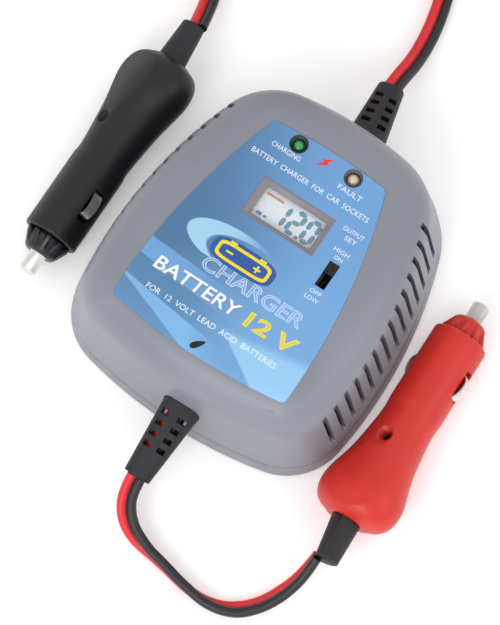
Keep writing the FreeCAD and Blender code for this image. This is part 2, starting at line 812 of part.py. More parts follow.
def control_chip():
    """A dual-in-line chip with its two rows of pins."""
    chip = hanging("chip_body", "chip_length", "chip_width", "chip_thickness", "chip_x", "chip_place", 1)
    pins = []
    for step in range(int(size.chip_pins)):
        x = f"chip_x + ({step} - (chip_pins - 1) / 2) * pin_pitch"
        for side, sign in (("far", "+"), ("near", "-")):
            y = f"chip_place {sign} (chip_width / 2 + 0.4)"
            pins.append(hanging(f"chip_pin_{side}_{step}", 0.5, 0.8, 3, x, y))
    sub_part("control_chip", join("control_chip", chip, *pins))


def terminal_blocks():
    """A block near each outlet, with a way for each of the two cores."""
    blocks = []
    for word in ("near", "far"):
        y = f"terminal_{word}"
        body = hanging(f"terminal_blank_{word}", "terminal_width", "terminal_length", "terminal_height",
                       "outlet_x", y)
        ways = [rod(f"terminal_way_{word}_{side}", "wire_radius", "terminal_length + 2",
                    f"outlet_x {sign} terminal_way_spread", f"{y} - terminal_length / 2 - 1",
                    f"{BOARD_UNDER} - terminal_way_drop", "y")
                for side, sign in (("right", "+"), ("left", "-"))]
        blocks.append(cut(f"terminal_{word}_block", body, *ways))
    sub_part("terminal_blocks", group("terminal_blocks", *blocks))


# ---------------------------------------------------------------- tubes, reliefs and wires


def tube_path(points):
    """Straight runs joined by tangent arcs, each as large as its two runs allow, and their radii."""
    edges, radii = [], []
    start = points[0]
    for before, corner, after in zip(points, points[1:], points[2:]):
        way_in, way_out = (before - corner), (after - corner)
        shorter = min(way_in.Length, way_out.Length)
        turn = math.pi - way_in.getAngle(way_out)
        trim = 0.45 * shorter
        radius = trim / math.tan(turn / 2)
        first = corner + V(way_in).normalize() * trim
        last = corner + V(way_out).normalize() * trim
        bisector = (V(way_in).normalize() + V(way_out).normalize()).normalize()
        middle = corner + bisector * (math.hypot(radius, trim) - radius)
        edges.append(Part.LineSegment(start, first).toShape())
        edges.append(Part.Arc(first, middle, last).toShape())
        radii.append(radius)
        start = last
    edges.append(Part.LineSegment(start, points[-1]).toShape())
    return Part.Wire(edges), radii


def tube(points, radius):
    """A round tube along a route of points. Returns its solid, its length and its arcs' radii."""
    path, radii = tube_path(points)
    way = (points[1] - points[0]).normalize()
    ring = Part.Wire(Part.Circle(points[0], way, radius).toShape())
    solid = path.makePipeShell([ring], True, False)
    return solid, path.Length, radii


def outlet_lean():
    """How far the case's wall has leaned in at the height of the outlets."""
    return size.outlet_height * size.side_draw / size.base_height


def strain_relief(name, tip, sign):
    """A collar inside the wall, a neck through it and a tapered, drooping tail with windows.

    Its bore holds the flat lead, and four rows of windows on each side of the middle rib open into it."""
    wall_face = sign * (size.case_length / 2 - outlet_lean())
    root = V(size.outlet_x, wall_face - sign * 1.5, size.outlet_height)
    way = (tip - root).normalize()
    lean = FreeCAD.Rotation(V(0, sign, 0), way)

    def section(width, height, corner, place, turn):
        wire = rounded(width, height, corner)
        wire.Placement = FreeCAD.Placement(place, turn)
        return wire

    thick = size.relief_root_thickness
    ends = [section(size.relief_root_width, thick, thick * 0.45, root, FreeCAD.Rotation()),
            section(size.relief_tip_width, size.relief_tip_thickness, size.relief_tip_thickness * 0.45,
                    tip, lean)]
    tail = Part.makeLoft(ends, True, True)
    neck_start = V(root.x, wall_face - sign * (size.wall + 1.5), root.z)
    neck = Part.Face(section(size.relief_root_width, thick, thick * 0.45, neck_start, FreeCAD.Rotation()))
    neck = neck.extrude(V(0, sign * size.wall, 0))
    collar = Part.Face(section(size.relief_root_width + 4, thick + 4, thick * 0.45, neck_start,
                               FreeCAD.Rotation()))
    collar = collar.extrude(V(0, -sign * size.relief_flange, 0))
    solid = tail.fuse([neck, collar])
    bore_root = V(root.x, wall_face - sign * (size.wall + 1.5 + size.relief_flange + 1), root.z)
    bore_width, bore_height = size.core_width + 0.2, size.wire_radius * 2 + 0.2
    straight = Part.Face(section(bore_width, bore_height, bore_height * 0.49, bore_root,
                                 FreeCAD.Rotation()))
    straight = straight.extrude(V(0, root.y - bore_root.y, 0))
    past = tip + way * 1
    bend = Part.makeLoft([section(bore_width, bore_height, bore_height * 0.49, root, FreeCAD.Rotation()),
                          section(bore_width, bore_height, bore_height * 0.49, past, lean)], True, True)
    solid = solid.cut([straight, bend])
    tail_length = (tip - root).Length
    for row in range(4):
        share = (5.2 + row * 4.2) / tail_length
        middle = root + (tip - root) * share
        for side in (-1, 1):
            aside = side * (size.relief_root_width * (1 - share) + size.relief_tip_width * share) / 4.1
            window = Part.makeBox(3.4 - 0.8 * share, 2.0, 20, V(-(3.4 - 0.8 * share) / 2, -1, -10))
            window.Placement = FreeCAD.Placement(middle + V(aside, 0, 0), lean)
            solid = solid.cut(window)
    sub_part(name, made(name, solid))


RELIEF_TIPS = {"lower_strain_relief": V(3.0, -87.0, 15.6), "upper_strain_relief": V(-0.6, 81.0, 15.6)}
LOWER_ROUTE = [
    V(3.0, -87.0, 15.6), V(3.1, -92.6, 12.6), V(5.6, -98.2, 9.2), V(10.6, -102.4, 6.2),
    V(17.6, -104.6, 4.3), V(26.5, -106.0, 3.8), V(36.5, -108.3, 3.7), V(47.0, -109.2, 3.8),
    V(56.4, -106.1, 3.7), V(63.4, -99.2, 4.8), V(67.9, -90.6, 7.4), V(70.3, -82.4, 10.3),
]
OUT_ROUTE = [
    V(-0.6, 81.0, 15.6), V(-0.9, 88.0, 12.2), V(-0.6, 95.6, 8.4), V(-1.2, 104.0, 5.0),
    V(-2.6, 114.0, 3.9), V(-5.6, 125.5, 3.8), V(-10.2, 138.0, 4.3), V(-14.0, 151.0, 4.8),
]
RETURN_ROUTE = [
    V(-109.6, 151.0, 18.2), V(-108.9, 139.0, 14.2), V(-106.0, 126.5, 9.4), V(-101.0, 114.5, 5.4),
    V(-94.4, 103.6, 3.9), V(-86.8, 94.0, 3.8), V(-80.0, 85.2, 4.2), V(-75.4, 76.6, 7.0),
]
COIL_CENTRE = V(-62, 170, 0)


def lead(name, points):
    """One free stretch of the lead, with its length and arcs printed and its volume compared."""
    solid, length, radii = tube(points, size.lead_width / 2)
    section = math.pi * size.lead_width**2 / 4
    print(f"{name}: {length:.1f} long, arc radii", " ".join(f"{r:.0f}" for r in radii))
    print(f"{name}: volume over section times length {solid.Volume / (section * length):.4f}")
    sub_part(name, made(name, solid))


def coil():
    """The put-away stretch as one ring of three by three turns, and the band that holds it."""
    half = 1.5 * size.lead_width
    outer = rod("coil_outer", "coil_radius + 1.5 * lead_width", "3 * lead_width", 0, 0, 0)
    inner = rod("coil_inner", "coil_radius - 1.5 * lead_width", "4 * lead_width", 0, 0, "-lead_width / 2")
    ring = cut("coil_ring", outer, inner)
    doc.recompute()
    rims = doc.addObject("Part::Fillet", "coil_rounded")
    rims.Base = ring
    rims.Edges = [(place, 3.0, 3.0) for place,
                  e in enumerate(ring.Shape.Edges, 1) if len(e.Vertexes) == 1]
    place = FreeCAD.Placement(COIL_CENTRE + V(0, 0, size.coil_bed), FreeCAD.Rotation())
    sub_part("upper_lead_coil", rims, place)
    gap = 0.3
    across = 2 * (half + gap)
    hole = box("tie_hole", "2 * tie_width", across, across - 0.05, 0, 0, 0)
    band = box("tie_band", "tie_width", f"{across} + 2 * tie_thickness",
               f"{across} + 2 * tie_thickness - 0.05", 0, 0, "-tie_thickness")
    tie = cut("coil_tie", band, hole)
    place = FreeCAD.Placement(COIL_CENTRE + V(0, -size.coil_radius, size.coil_bed - gap / 2),
                              FreeCAD.Rotation())
    sub_part("coil_tie", tie, place)


def inner_wires():
    """A red and a black wire from inside each relief's tip to its terminal block."""
    drop = size.case_height - size.board_drop - size.board_thickness - size.terminal_way_drop
    beyond = size.terminal_length / 2
    ends = {"lower_strain_relief": size.terminal_near - beyond,
            "upper_strain_relief": size.terminal_far + beyond}
    for colour, side in (("red", -1), ("black", 1)):
        solids = []
        for name, end in ends.items():
            tip = RELIEF_TIPS[name]
            sign = 1 if tip.y > 0 else -1
            root = V(size.outlet_x, sign * (size.case_length / 2 - outlet_lean() - 1.5),
                     size.outlet_height)
            inside = root - V(0, sign * (size.wall + size.relief_flange + 1.5), 0)
            apart = V(side * 1.8, 0, 0)
            reach = inside.y - end
            way_x = size.outlet_x + side * size.terminal_way_spread
            halfway_x = (way_x + inside.x + apart.x) / 2
            points = [tip + (root - tip).normalize() * 0.3 + apart, root + apart, inside + apart,
                      V(halfway_x, inside.y - reach * 0.4, size.outlet_height + 0.1),
                      V(way_x, end + reach * 0.3, drop - 0.1), V(way_x, end, drop)]
            solids.append(tube(points, size.wire_radius - 0.05)[0])
        sub_part(f"inner_{colour}_wires", made(f"inner_{colour}_wires", Part.makeCompound(solids)))


# ---------------------------------------------------------------- plugs


def plug_place(tip, tail, roll):
    """Where a plug lies: its axis from tip to tail, rolled about it, with local z its face side."""
    way = (tail - tip).normalize()
    side = Z_AXIS.cross(way).normalize()
    up = way.cross(side)
    level = FreeCAD.Rotation(way, side, up, "XYZ")
    return FreeCAD.Placement(tip, level.multiply(FreeCAD.Rotation(X_AXIS, roll)))


def grip_solid(name):
    """The plug's outside: a round barrel, then ellipses that widen to the grip, flat above and below."""
    barrel, wide, deep = size.barrel_radius, size.grip_half_width, size.grip_half_depth
    waist = barrel - size.waist_depth
    length, start = size.plug_length, size.barrel_end
    tube_part = Part.makeCylinder(barrel, start - size.nose_end, V(size.nose_end, 0, 0), X_AXIS)
    front = min(tube_part.Edges, key=lambda e: e.CenterOfMass.x)
    tube_part = tube_part.makeFillet(size.shoulder_roll, [front])
    # place along the axis, half the width and half the depth
    stations = [
        (start, barrel, barrel),
        (start + 5, waist, waist),
        (start + 14, waist + 0.9, waist + 0.8),
        (length - 24.4, wide * 0.77, deep * 0.9),
        (length - 18.4, wide * 0.88, deep * 0.96),
        (length - 13.4, wide * 0.975, deep),
        (length - 8.9, wide, deep),
        (length - 4.9, wide * 0.94, deep * 0.94),
        (length - 1.9, wide * 0.78, deep * 0.8),
        (length, wide * 0.52, deep * 0.56),
    ]
    wires = []
    for place, half_width, half_depth in stations:
        if half_width > half_depth:
            curve = Part.Ellipse(V(place, half_width, 0), V(place, 0, half_depth), V(place, 0, 0))
        else:
            curve = Part.Circle(V(place, 0, 0), X_AXIS, half_width)
            curve.XAxis = Y_AXIS
        wires.append(Part.Wire(curve.toShape()))
    grip = Part.makeLoft(wires, True, False)
    keep = Part.makeBox(length + 20, 60, 2 * size.grip_flat, V(-10, -30, -size.grip_flat))
    return made(name + "_outside", tube_part.fuse(grip).common(keep))


def plug_rooms(colour):
    """What is hollow in a plug: the cap's bore, the fuse's, the rear room, and the contacts' slots."""
    slot_height = "contact_width + 2 * contact_gap"
    slot_foot = "-contact_width / 2 - contact_gap"
    fuse_end = "plug_screw_place - plug_screw_hole - 1"
    tools = [
        rod(f"{colour}_cap_bore", "skirt_radius + running_gap", "skirt_end + 1.5 - nose_end",
            "nose_end - 1", 0, 0, "x"),
        rod(f"{colour}_fuse_bore", "fuse_bore", f"{fuse_end} - skirt_end", "skirt_end", 0, 0, "x"),
        rod(f"{colour}_rear_room", "rear_room_radius", "plug_length - boot_flange_place - room_start",
            "room_start", 0, 0, "x"),
        rod(f"{colour}_boot_way", "boot_plug_radius", 12, "plug_length - 10", 0, 0, "x"),
        box(f"{colour}_contact_slot", "slot_end - slot_start", "4 * barrel_radius", slot_height,
            "(slot_start + slot_end) / 2", 0, slot_foot),
        box(f"{colour}_contact_room", "slot_room_end - slot_start", "2 * (barrel_radius - contact_inset)",
            slot_height, "(slot_start + slot_room_end) / 2", 0, slot_foot),
    ]
    for side, sign in (("left", "+"), ("right", "-")):
        tools.append(rod(f"{colour}_wire_way_{side}", "wire_radius + 0.1",
                         "room_start + 0.5 - (wire_start - 0.6)",
                         "wire_start - 0.6", f"{sign}wire_spread", 0, "x"))
    sleeve = rod(f"{colour}_sleeve_outside", "sleeve_radius", 22, "slot_start - 0.5", 0, 0, "x")
    bore = rod(f"{colour}_sleeve_bore", "fuse_bore", 30, "slot_start - 4.5", 0, 0, "x")
    return cut(f"{colour}_ways", join(f"{colour}_rooms", *tools), cut(f"{colour}_sleeve", sleeve, bore))


def plug_shells(colour, place):
    """The two halves, which meet on the axis, and the screw that holds them."""
    outside = grip_solid(colour)
    ways = plug_rooms(colour)
    recess = rod(f"{colour}_screw_recess", "plug_screw_hole", 20, "plug_screw_place", 0, 3)
    clear = rod(f"{colour}_screw_way", 1.35, 4, "plug_screw_place", 0, -0.5)
    upper_half = box(f"{colour}_upper_half", 200, 80, 40, 50, 0, 0)
    lower_half = box(f"{colour}_lower_half", 200, 80, 40, 50, 0, -40)
    thread = rod(f"{colour}_screw_thread", 1.25, 8, "plug_screw_place", 0, -6)
    top = cut(f"{colour}_top_half", shared(f"{colour}_top_blank", outside, upper_half), ways, recess,
              clear)
    low = cut(f"{colour}_low_half", shared(f"{colour}_low_blank", outside, lower_half), ways, thread)
    sub_part(f"{colour}_plug_top_shell", top, place)
    sub_part(f"{colour}_plug_bottom_shell", low, place)
    head = rod(f"{colour}_screw_head", "plug_screw_hole - plug_screw_gap", 1.7, "plug_screw_place", 0, 3)
    shank = rod(f"{colour}_screw_shank", 1.25, 9.3, "plug_screw_place", 0, -6)
    cross = [box(f"{colour}_screw_{way}", length, width, 1, "plug_screw_place", 0, 3.9)
             for way, length, width in (("bar", 3.0, 0.7), ("post", 0.7, 3.0))]
    screw = cut(f"{colour}_screw_cut", join(f"{colour}_screw_solid", head, shank), *cross)
    sub_part(f"{colour}_plug_screw", screw, place)


def nose_cap(colour, place):
    """The screwed nose: a ribbed cone outside, a skirt inside the barrel and a bore for the pin."""
    lip = cone(f"{colour}_cap_lip", "nose_radius - 2.2", "nose_radius - 1.1", "1", "pin_out", 0, 0, "x")
    body = cone(f"{colour}_cap_body", "nose_radius - 1.1", "nose_radius", "nose_end - 0.1 - pin_out - 1",
                "pin_out + 1", 0, 0, "x")
    skirt = rod(f"{colour}_cap_skirt", "skirt_radius", "skirt_end - nose_end + 1", "nose_end - 1", 0, 0,
                "x")
    ribs = []
    for step in range(int(size.rib_count)):
        rib = doc.addObject("Part::Box", f"{colour}_cap_rib_{step}")
        bind(rib, Length="nose_end - 0.1 - pin_out - 1", Width="rib_radius", Height="rib_width")
        turn = FreeCAD.Rotation(X_AXIS, 360 * step / size.rib_count)
        rib.Placement = FreeCAD.Placement(V(size.pin_out + 1, 0,
                                            0) + turn.multVec(V(0, 0, -size.rib_width / 2)), turn)
        ribs.append(rib)
    envelope = cone(f"{colour}_rib_envelope", "nose_radius - 1.2", "rib_radius + 0.6",
                    "nose_end - 0.1 - pin_out - 1",
                    "pin_out + 1", 0, 0, "x")
    limit = rod(f"{colour}_rib_limit", "rib_radius", "30", 0, 0, 0, "x")
    kept = shared(f"{colour}_ribs", join(f"{colour}_rib_blanks", *ribs), envelope, limit)
    solid = join(f"{colour}_cap_solid", lip, body, skirt, kept)
    hole = rod(f"{colour}_pin_way", "pin_radius + running_gap", "10", 5, 0, 0, "x")
    bore = rod(f"{colour}_cap_bore_tool", "cap_bore", "20", "pin_out + 2.5", 0, 0, "x")
    sub_part(f"{colour}_plug_nose_cap", cut(f"{colour}_cap", solid, hole, bore), place)
    ring = cut(f"{colour}_washer_cut", rod(f"{colour}_washer_out", "cap_bore - running_gap", "1", 19.4, 0,
                                           0, "x"),
               rod(f"{colour}_washer_in", "fuse_radius + 0.3", "4", 17, 0, 0, "x"))
    sub_part(f"{colour}_plug_cap_washer", ring, place)


def pin_and_fuse(colour, place):
    tip = cone(f"{colour}_pin_tip", "pin_radius - 0.7", "pin_radius", "0.7", 0, 0, 0, "x")
    shaft = rod(f"{colour}_pin_shaft", "pin_radius", "11", 0.7, 0, 0, "x")
    collar = rod(f"{colour}_pin_collar", "cap_bore - 0.4", "2", "pin_out + 2.5 + 0.1", 0, 0, "x")
    tail = rod(f"{colour}_pin_tail", "2.6", "fuse_start - 11", 11, 0, 0, "x")
    sub_part(f"{colour}_plug_tip_pin", join(f"{colour}_pin", tip, shaft, collar, tail), place)
    glass = rod(f"{colour}_fuse_glass", "fuse_radius - 0.15", "fuse_length - 2", "fuse_start + 1", 0, 0,
                "x")
    caps = [rod(f"{colour}_fuse_cap_{word}", "fuse_radius", "6", at, 0, 0, "x")
            for word, at in (("front", "fuse_start"), ("rear", "fuse_start + fuse_length - 6"))]
    sub_part(f"{colour}_plug_fuse", join(f"{colour}_fuse", glass, *caps), place)
    start = size.fuse_start + size.fuse_length
    end = size.plug_screw_place - size.plug_screw_hole - 1 - 1.5
    wire = 0.35
    height = end - start - 2 * wire
    helix = Part.makeHelix(height / 4, height, 2.6)
    way = helix.Edges[0].tangentAt(helix.Edges[0].FirstParameter)
    circle = Part.Circle(V(2.6, 0, 0), way, wire)
    facets = [circle.value(2 * math.pi * step / 8) for step in range(8)]
    spring = Part.Wire(helix).makePipeShell([Part.makePolygon(facets + facets[:1])], True, True)
    spring.Placement = FreeCAD.Placement(V(start + wire, 0, 0), TURNS["x"])
    sub_part(f"{colour}_plug_spring", made(f"{colour}_spring", Part.makeCompound([spring]), place))
    disc = rod(f"{colour}_terminal_disc", "fuse_bore - 0.05", "1.5", end, 0, 0, "x")
    boss = rod(f"{colour}_terminal_boss", "1.6", "2.5", end - 1, 0, 0, "x")
    sub_part(f"{colour}_plug_rear_terminal", join(f"{colour}_rear_terminal", disc, boss), place)


def side_contact(colour, word, sign, place):
    """A bowed leaf held at its rear end, which comes out through the barrel's slot."""
    barrel, proud = size.barrel_radius, size.barrel_radius + size.contact_proud
    inner = barrel - size.contact_inset - 1.1
    root = size.contact_root
    path = [(root, inner), (root - 7.2, inner), (root - 10.1, barrel + 0.6), (root - 12.8, proud),
            (root - 16, proud), (root - 18.8, barrel - 1.4)]
    path = [V(along, out, -size.contact_width / 2) for along, out in path]
    curve = Part.BSplineCurve()
    curve.interpolate(path)
    outer = curve.toShape()
    lower = outer.copy()
    lower.translate(V(0, -size.contact_thickness, 0))
    ends = [Part.LineSegment(p, p - V(0, size.contact_thickness, 0)).toShape()
            for p in (path[0], path[-1])]
    face = Part.Face(Part.Wire([outer, ends[1], lower, ends[0]]))
    leaf = face.extrude(V(0, 0, size.contact_width))
    if sign < 0:
        leaf = leaf.mirror(V(), Y_AXIS)
    sub_part(f"{colour}_plug_{word}_contact", made(f"{colour}_{word}_contact", leaf, place))


def boot_and_wires(colour, place, lean):
    """The tapered boot, which leans a little sideways, and the two wires in front of it."""
    tip = V(size.plug_length + size.boot_length, lean, 0)
    way = V(size.boot_length, lean * 1.6, 0).normalize()
    root = Part.Wire(Part.Circle(V(size.plug_length, 0, 0), X_AXIS, size.boot_root_radius).toShape())
    end = Part.Wire(Part.Circle(tip, way, size.boot_tip_radius).toShape())
    tail = Part.makeLoft([root, end], True, True)
    neck = Part.makeCylinder(size.boot_plug_radius, 8, V(size.plug_length - 7.7, 0, 0), X_AXIS)
    flange_place = size.plug_length - size.boot_flange_place - size.boot_flange
    flange = Part.makeCylinder(size.boot_plug_radius + 2, size.boot_flange - 0.1, V(flange_place, 0, 0),
                               X_AXIS)
    sub_part(f"{colour}_plug_boot", made(f"{colour}_boot", tail.fuse([neck, flange]), place))
    wire_length = "plug_length - boot_flange_place - boot_flange - 0.1 - wire_start"
    wires = [rod(f"{colour}_wire_{word}", "wire_radius - 0.15", wire_length, "wire_start",
                 f"{sign}wire_spread", 0, "x")
             for word, sign in (("left", "+"), ("right", "-"))]
    sub_part(f"{colour}_plug_wires", group(f"{colour}_wires", *wires), place)
    return place.multVec(tip)


def plug(colour, tip, tail, roll, lean):
    place = plug_place(tip, tail, roll)
    plug_shells(colour, place)
    nose_cap(colour, place)
    pin_and_fuse(colour, place)
    side_contact(colour, "left", 1, place)
    side_contact(colour, "right", -1, place)
    return boot_and_wires(colour, place, lean)


# ---------------------------------------------------------------- build, check and write

upper_shell()
lower_shell()
case_screws()
front_label()
display()
lamps()
slide_switch()
main_board()
heat_sink()
power_transistors()
capacitors()
choke()
control_chip()
terminal_blocks()
for relief, tip_point in RELIEF_TIPS.items():
    strain_relief(relief, tip_point, 1 if tip_point.y > 0 else -1)
inner_wires()
black_end = plug("black", V(-72.3, -46.2, 10.7), V(-72.4, 46.5, 15.2), -44, 1.0)
red_end = plug("red", V(69.6, 32.9, 10.6), V(72.2, -59.4, 13.8), 21, 1.8)
lead("lower_lead", LOWER_ROUTE + [red_end])
lead("upper_lead", OUT_ROUTE)
coil()
lead("upper_lead_return", RETURN_ROUTE + [black_end])
doc.recompute()

failed = [o.Name for o in doc.Objects if "Invalid" in o.State or "Error" in o.State]
failed += [o.Label for o in sub_parts if o.Shape.isNull() or not o.Shape.isValid() or not o.Shape.Solids]
if failed:
    raise RuntimeError(f"these did not build: {failed}")
os.makedirs("parts", exist_ok=True)
for thing in sub_parts:
    thing.Shape.exportStep(f"parts/{thing.Label}.step")
print(len(sub_parts), "sub-parts written")
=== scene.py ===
# %% [markdown]
# # A car battery charger, piece by piece
# The charger is a rounded grey case with a printed blue label, a small display, two lamps and a slide
# switch. A red and black twin lead leaves each end and runs to a fused plug for a car's 12 V socket.
# The case, the plugs and everything that moves come as a fixed frame of exact solids. This lesson gives
# them finishes, draws the print on the label, and makes the leads as real lengths of flexible cable.

# %% Load the frame
import json
import math

import bmesh
import bpy
import numpy as np
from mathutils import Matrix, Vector


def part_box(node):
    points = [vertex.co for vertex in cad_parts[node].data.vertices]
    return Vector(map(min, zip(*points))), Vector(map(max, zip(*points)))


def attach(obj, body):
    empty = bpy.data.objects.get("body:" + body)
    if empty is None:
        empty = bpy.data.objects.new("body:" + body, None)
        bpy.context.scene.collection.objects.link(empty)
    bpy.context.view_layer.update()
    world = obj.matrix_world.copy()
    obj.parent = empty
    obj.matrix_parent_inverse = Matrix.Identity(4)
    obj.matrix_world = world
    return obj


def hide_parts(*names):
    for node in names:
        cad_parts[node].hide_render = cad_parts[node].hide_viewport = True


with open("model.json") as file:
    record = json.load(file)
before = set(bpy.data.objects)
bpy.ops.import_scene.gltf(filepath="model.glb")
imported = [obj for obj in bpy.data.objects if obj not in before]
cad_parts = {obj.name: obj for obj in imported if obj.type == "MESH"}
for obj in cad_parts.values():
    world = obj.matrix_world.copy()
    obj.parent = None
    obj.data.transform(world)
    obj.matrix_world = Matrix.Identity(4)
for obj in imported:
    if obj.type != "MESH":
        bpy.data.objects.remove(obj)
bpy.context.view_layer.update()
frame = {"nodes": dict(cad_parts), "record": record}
MM = 0.001
body_of = {node: body for body, nodes in frame["record"]["behaviour"]["bodies"].items() for node in nodes}
slot_of = {part["node"]: part["material_slot"] for part in frame["record"]["subparts"]}
scene = bpy.context.scene
scene.view_settings.view_transform = "Standard"

# %% [markdown]
# ## The camera
# A camera is placed like a real one: stand off along a direction given by a turn round the object and a
# height above the table, then aim back along it. The lens length follows from how large the object should
# look. The aim point lies a little off the middle, so the picture keeps the charger's own balance.

# %% Camera
turn, height_angle = math.radians(33.62), math.radians(74.70)
stand_off = 1200 * MM
aim_right, aim_up = -5.0 * MM, -21.3 * MM
case_top = Vector((0, -2.15, 48)) * MM
flat = math.cos(height_angle)
back = Vector((math.sin(turn) * flat, -math.cos(turn) * flat, math.sin(height_angle)))
right = Vector((math.cos(turn), math.sin(turn), 0))
upward = back.cross(right)
camera = bpy.data.objects.new("camera", bpy.data.cameras.new("camera"))
scene.collection.objects.link(camera)
scene.camera = camera
camera.data.sensor_width = 36
camera.data.lens = 36 * 5.566
camera.location = case_top + stand_off * back + aim_right * right + aim_up * upward
camera.rotation_mode = "QUATERNION"
camera.rotation_quaternion = (-back).to_track_quat("-Z", "Y")
camera.data.clip_start, camera.data.clip_end = 0.05, 20
print("camera", [round(c, 3) for c in camera.location])

# %% [markdown]
# ## Light and table
# Product pictures use large soft lights on a white sweep. Here a bright even sky does most of the work,
# one large panel near the front gives the rolled edges a long highlight, and a weaker one at the right
# opens the shaded side. The table is one white plane.


# %% Light and table
def soft_light(name, place, size, power):
    """A square panel of light at a place in metres, aimed at the case."""
    light = bpy.data.objects.new(name, bpy.data.lights.new(name, "AREA"))
    light.data.shape = "SQUARE"
    light.data.size = size
    light.data.energy = power
    light.location = place
    light.rotation_mode = "QUATERNION"
    light.rotation_quaternion = (case_top - light.location).to_track_quat("-Z", "Y")
    scene.collection.objects.link(light)
    return light


soft_light("key_panel", (0.05, -0.8, 0.75), 0.5, 3.6)
soft_light("side_panel", (0.8, 0.15, 0.7), 0.5, 1.1)
scene.world = bpy.data.worlds.new("white_sky")
scene.world.use_nodes = True
sky = scene.world.node_tree.nodes["Background"]
sky.inputs["Color"].default_value = (1.0, 1.0, 1.0, 1.0)
sky.inputs["Strength"].default_value = 0.86

# %% [markdown]
# ## Shader sums as plain Python
# A material is a network of small nodes. Written one by one they hide the idea, so two small classes
# help: a Value is a socket that can be added, multiplied and compared like a number, and a Finish is one
# material with a single method that makes any node.


# %% Value and Finish
class Value:
    """A shader socket that takes part in sums. Each operator adds one Math node to its finish."""

    def __init__(self, finish, socket):
        self.finish = finish
        self.socket = socket

    def math(self, operation, *others):
        return self.finish.node("Math", {"operation": operation}, dict(enumerate((self, *others))))

    def __add__(self, other):
        return self.math("ADD", other)

    __radd__ = __add__

    def __sub__(self, other):
        return self.math("SUBTRACT", other)

    def __rsub__(self, other):
        return (self * -1.0) + other

    def __mul__(self, other):
        return self.math("MULTIPLY", other)

    __rmul__ = __mul__

    def size(self):
        return self.math("ABSOLUTE")

    def step(self, low, high):
        """0 below low, 1 above high and a smooth climb between."""
        settings = {"interpolation_type": "SMOOTHSTEP"}
        return self.finish.node("MapRange", settings, {"Value": self, "From Min": low, "From Max": high})


def paint(code):
    """A web colour such as #8090A0 as the linear numbers that a shader works in."""
    parts = [int(code[i : i + 2], 16) / 255 for i in (1, 3, 5)]
    return tuple(c / 12.92 if c <= 0.04045 else ((c + 0.055) / 1.055) ** 2.4 for c in parts) + (1.0,)


class Finish:
    """One material: a Principled shader and the nodes that feed it."""

    def __init__(self, name, **fixed):
        self.material = bpy.data.materials.new(name)
        self.material.use_nodes = True
        self.tree = self.material.node_tree
        self.shader = self.tree.nodes["Principled BSDF"]
        self.set(fixed)

    def node(self, kind, settings=None, inputs=None, output=0):
        made = self.tree.nodes.new("ShaderNode" + kind)
        for name, value in (settings or {}).items():
            setattr(made, name, value)
        for name, value in (inputs or {}).items():
            self.feed(made.inputs[name], value)
        return Value(self, made.outputs[output])

    def feed(self, socket, value):
        if isinstance(value, Value):
            self.tree.links.new(value.socket, socket)
        else:
            socket.default_value = value

    def set(self, sockets):
        """Feeds the shader: base_color becomes its socket Base Color."""
        for name, value in sockets.items():
            self.feed(self.shader.inputs[name.replace("_", " ").title().replace("Ior", "IOR")], value)
        return self

    def place(self):
        """Object coordinates in millimetres, as one vector and its three parts."""
        where = self.node("TexCoord", output=3)
        scaled = self.node("VectorMath", {"operation": "SCALE"}, {0: where, "Scale": 1 / MM})
        parts = self.tree.nodes.new("ShaderNodeSeparateXYZ")
        self.feed(parts.inputs[0], scaled)
        return scaled, [Value(self, parts.outputs[i]) for i in range(3)]

    def noise(self, where, scale, detail=3.0, stretch=None):
        """Cloudy noise from 0 to 1, scale cells to the millimetre."""
        if stretch:
            where = self.node("VectorMath", {"operation": "MULTIPLY"}, {0: where, 1: stretch})
        return self.node("TexNoise", inputs={"Vector": where, "Scale": scale, "Detail": detail})

    def mix(self, factor, first, second):
        """First colour where factor is 0, second where it is 1."""
        return self.node("Mix", {"data_type": "RGBA"}, {0: factor, 6: first, 7: second}, output=2)

    def bump(self, height, distance, strength=1.0):
        inputs = {"Height": height, "Distance": distance, "Strength": strength}
        self.set({"normal": self.node("Bump", inputs=inputs)})


# %% [markdown]
# ## Finishes
# Injection-moulded plastic is never one flat colour. The tool that it came from was spark-eroded, so it
# has a fine even grain, and handling polishes it here and there. Each finish below is one base colour with
# a slow drift in tone, a grain in the bump and a roughness that wanders a little.


# %% Moulded plastic, rubber and metal
def moulded(name, colour, rough, grain=6.0, depth=0.010, drift=0.06, coat=0.0):
    """Moulded plastic: grain is in cells per millimetre and depth in millimetres."""
    finish = Finish(name, coat_weight=coat)
    where, _ = finish.place()
    slow = finish.noise(where, 0.035, 2.0)
    fine = finish.noise(where, grain, 3.0)
    base = paint(colour)
    light = tuple(min(1.0, c * (1 + drift)) for c in base[:3]) + (1.0,)
    dark = tuple(c * (1 - drift) for c in base[:3]) + (1.0,)
    finish.set({"base_color": finish.mix(slow.step(0.3, 0.7), dark, light)})
    finish.set({"roughness": rough + 0.10 * (slow - 0.5) + 0.06 * (fine - 0.5)})
    finish.bump(fine, depth * MM, 0.6)
    return finish


def plated(name, colour, rough, stretch=(1.0, 1.0, 1.0), scale=2.0, depth=0.004):
    """Turned or plated metal: fine lines in the bump, and bright and dull patches."""
    finish = Finish(name, metallic=1.0)
    where, _ = finish.place()
    lines = finish.noise(where, scale, 4.0, stretch)
    slow = finish.noise(where, 0.15, 2.0)
    base = paint(colour)
    dull = tuple(c * 0.82 for c in base[:3]) + (1.0,)
    finish.set({"base_color": finish.mix(slow.step(0.35, 0.65), dull, base)})
    finish.set({"roughness": rough + 0.12 * (slow - 0.5) + 0.10 * (lines - 0.5)})
    finish.bump(lines, depth * MM, 0.5)
    return finish


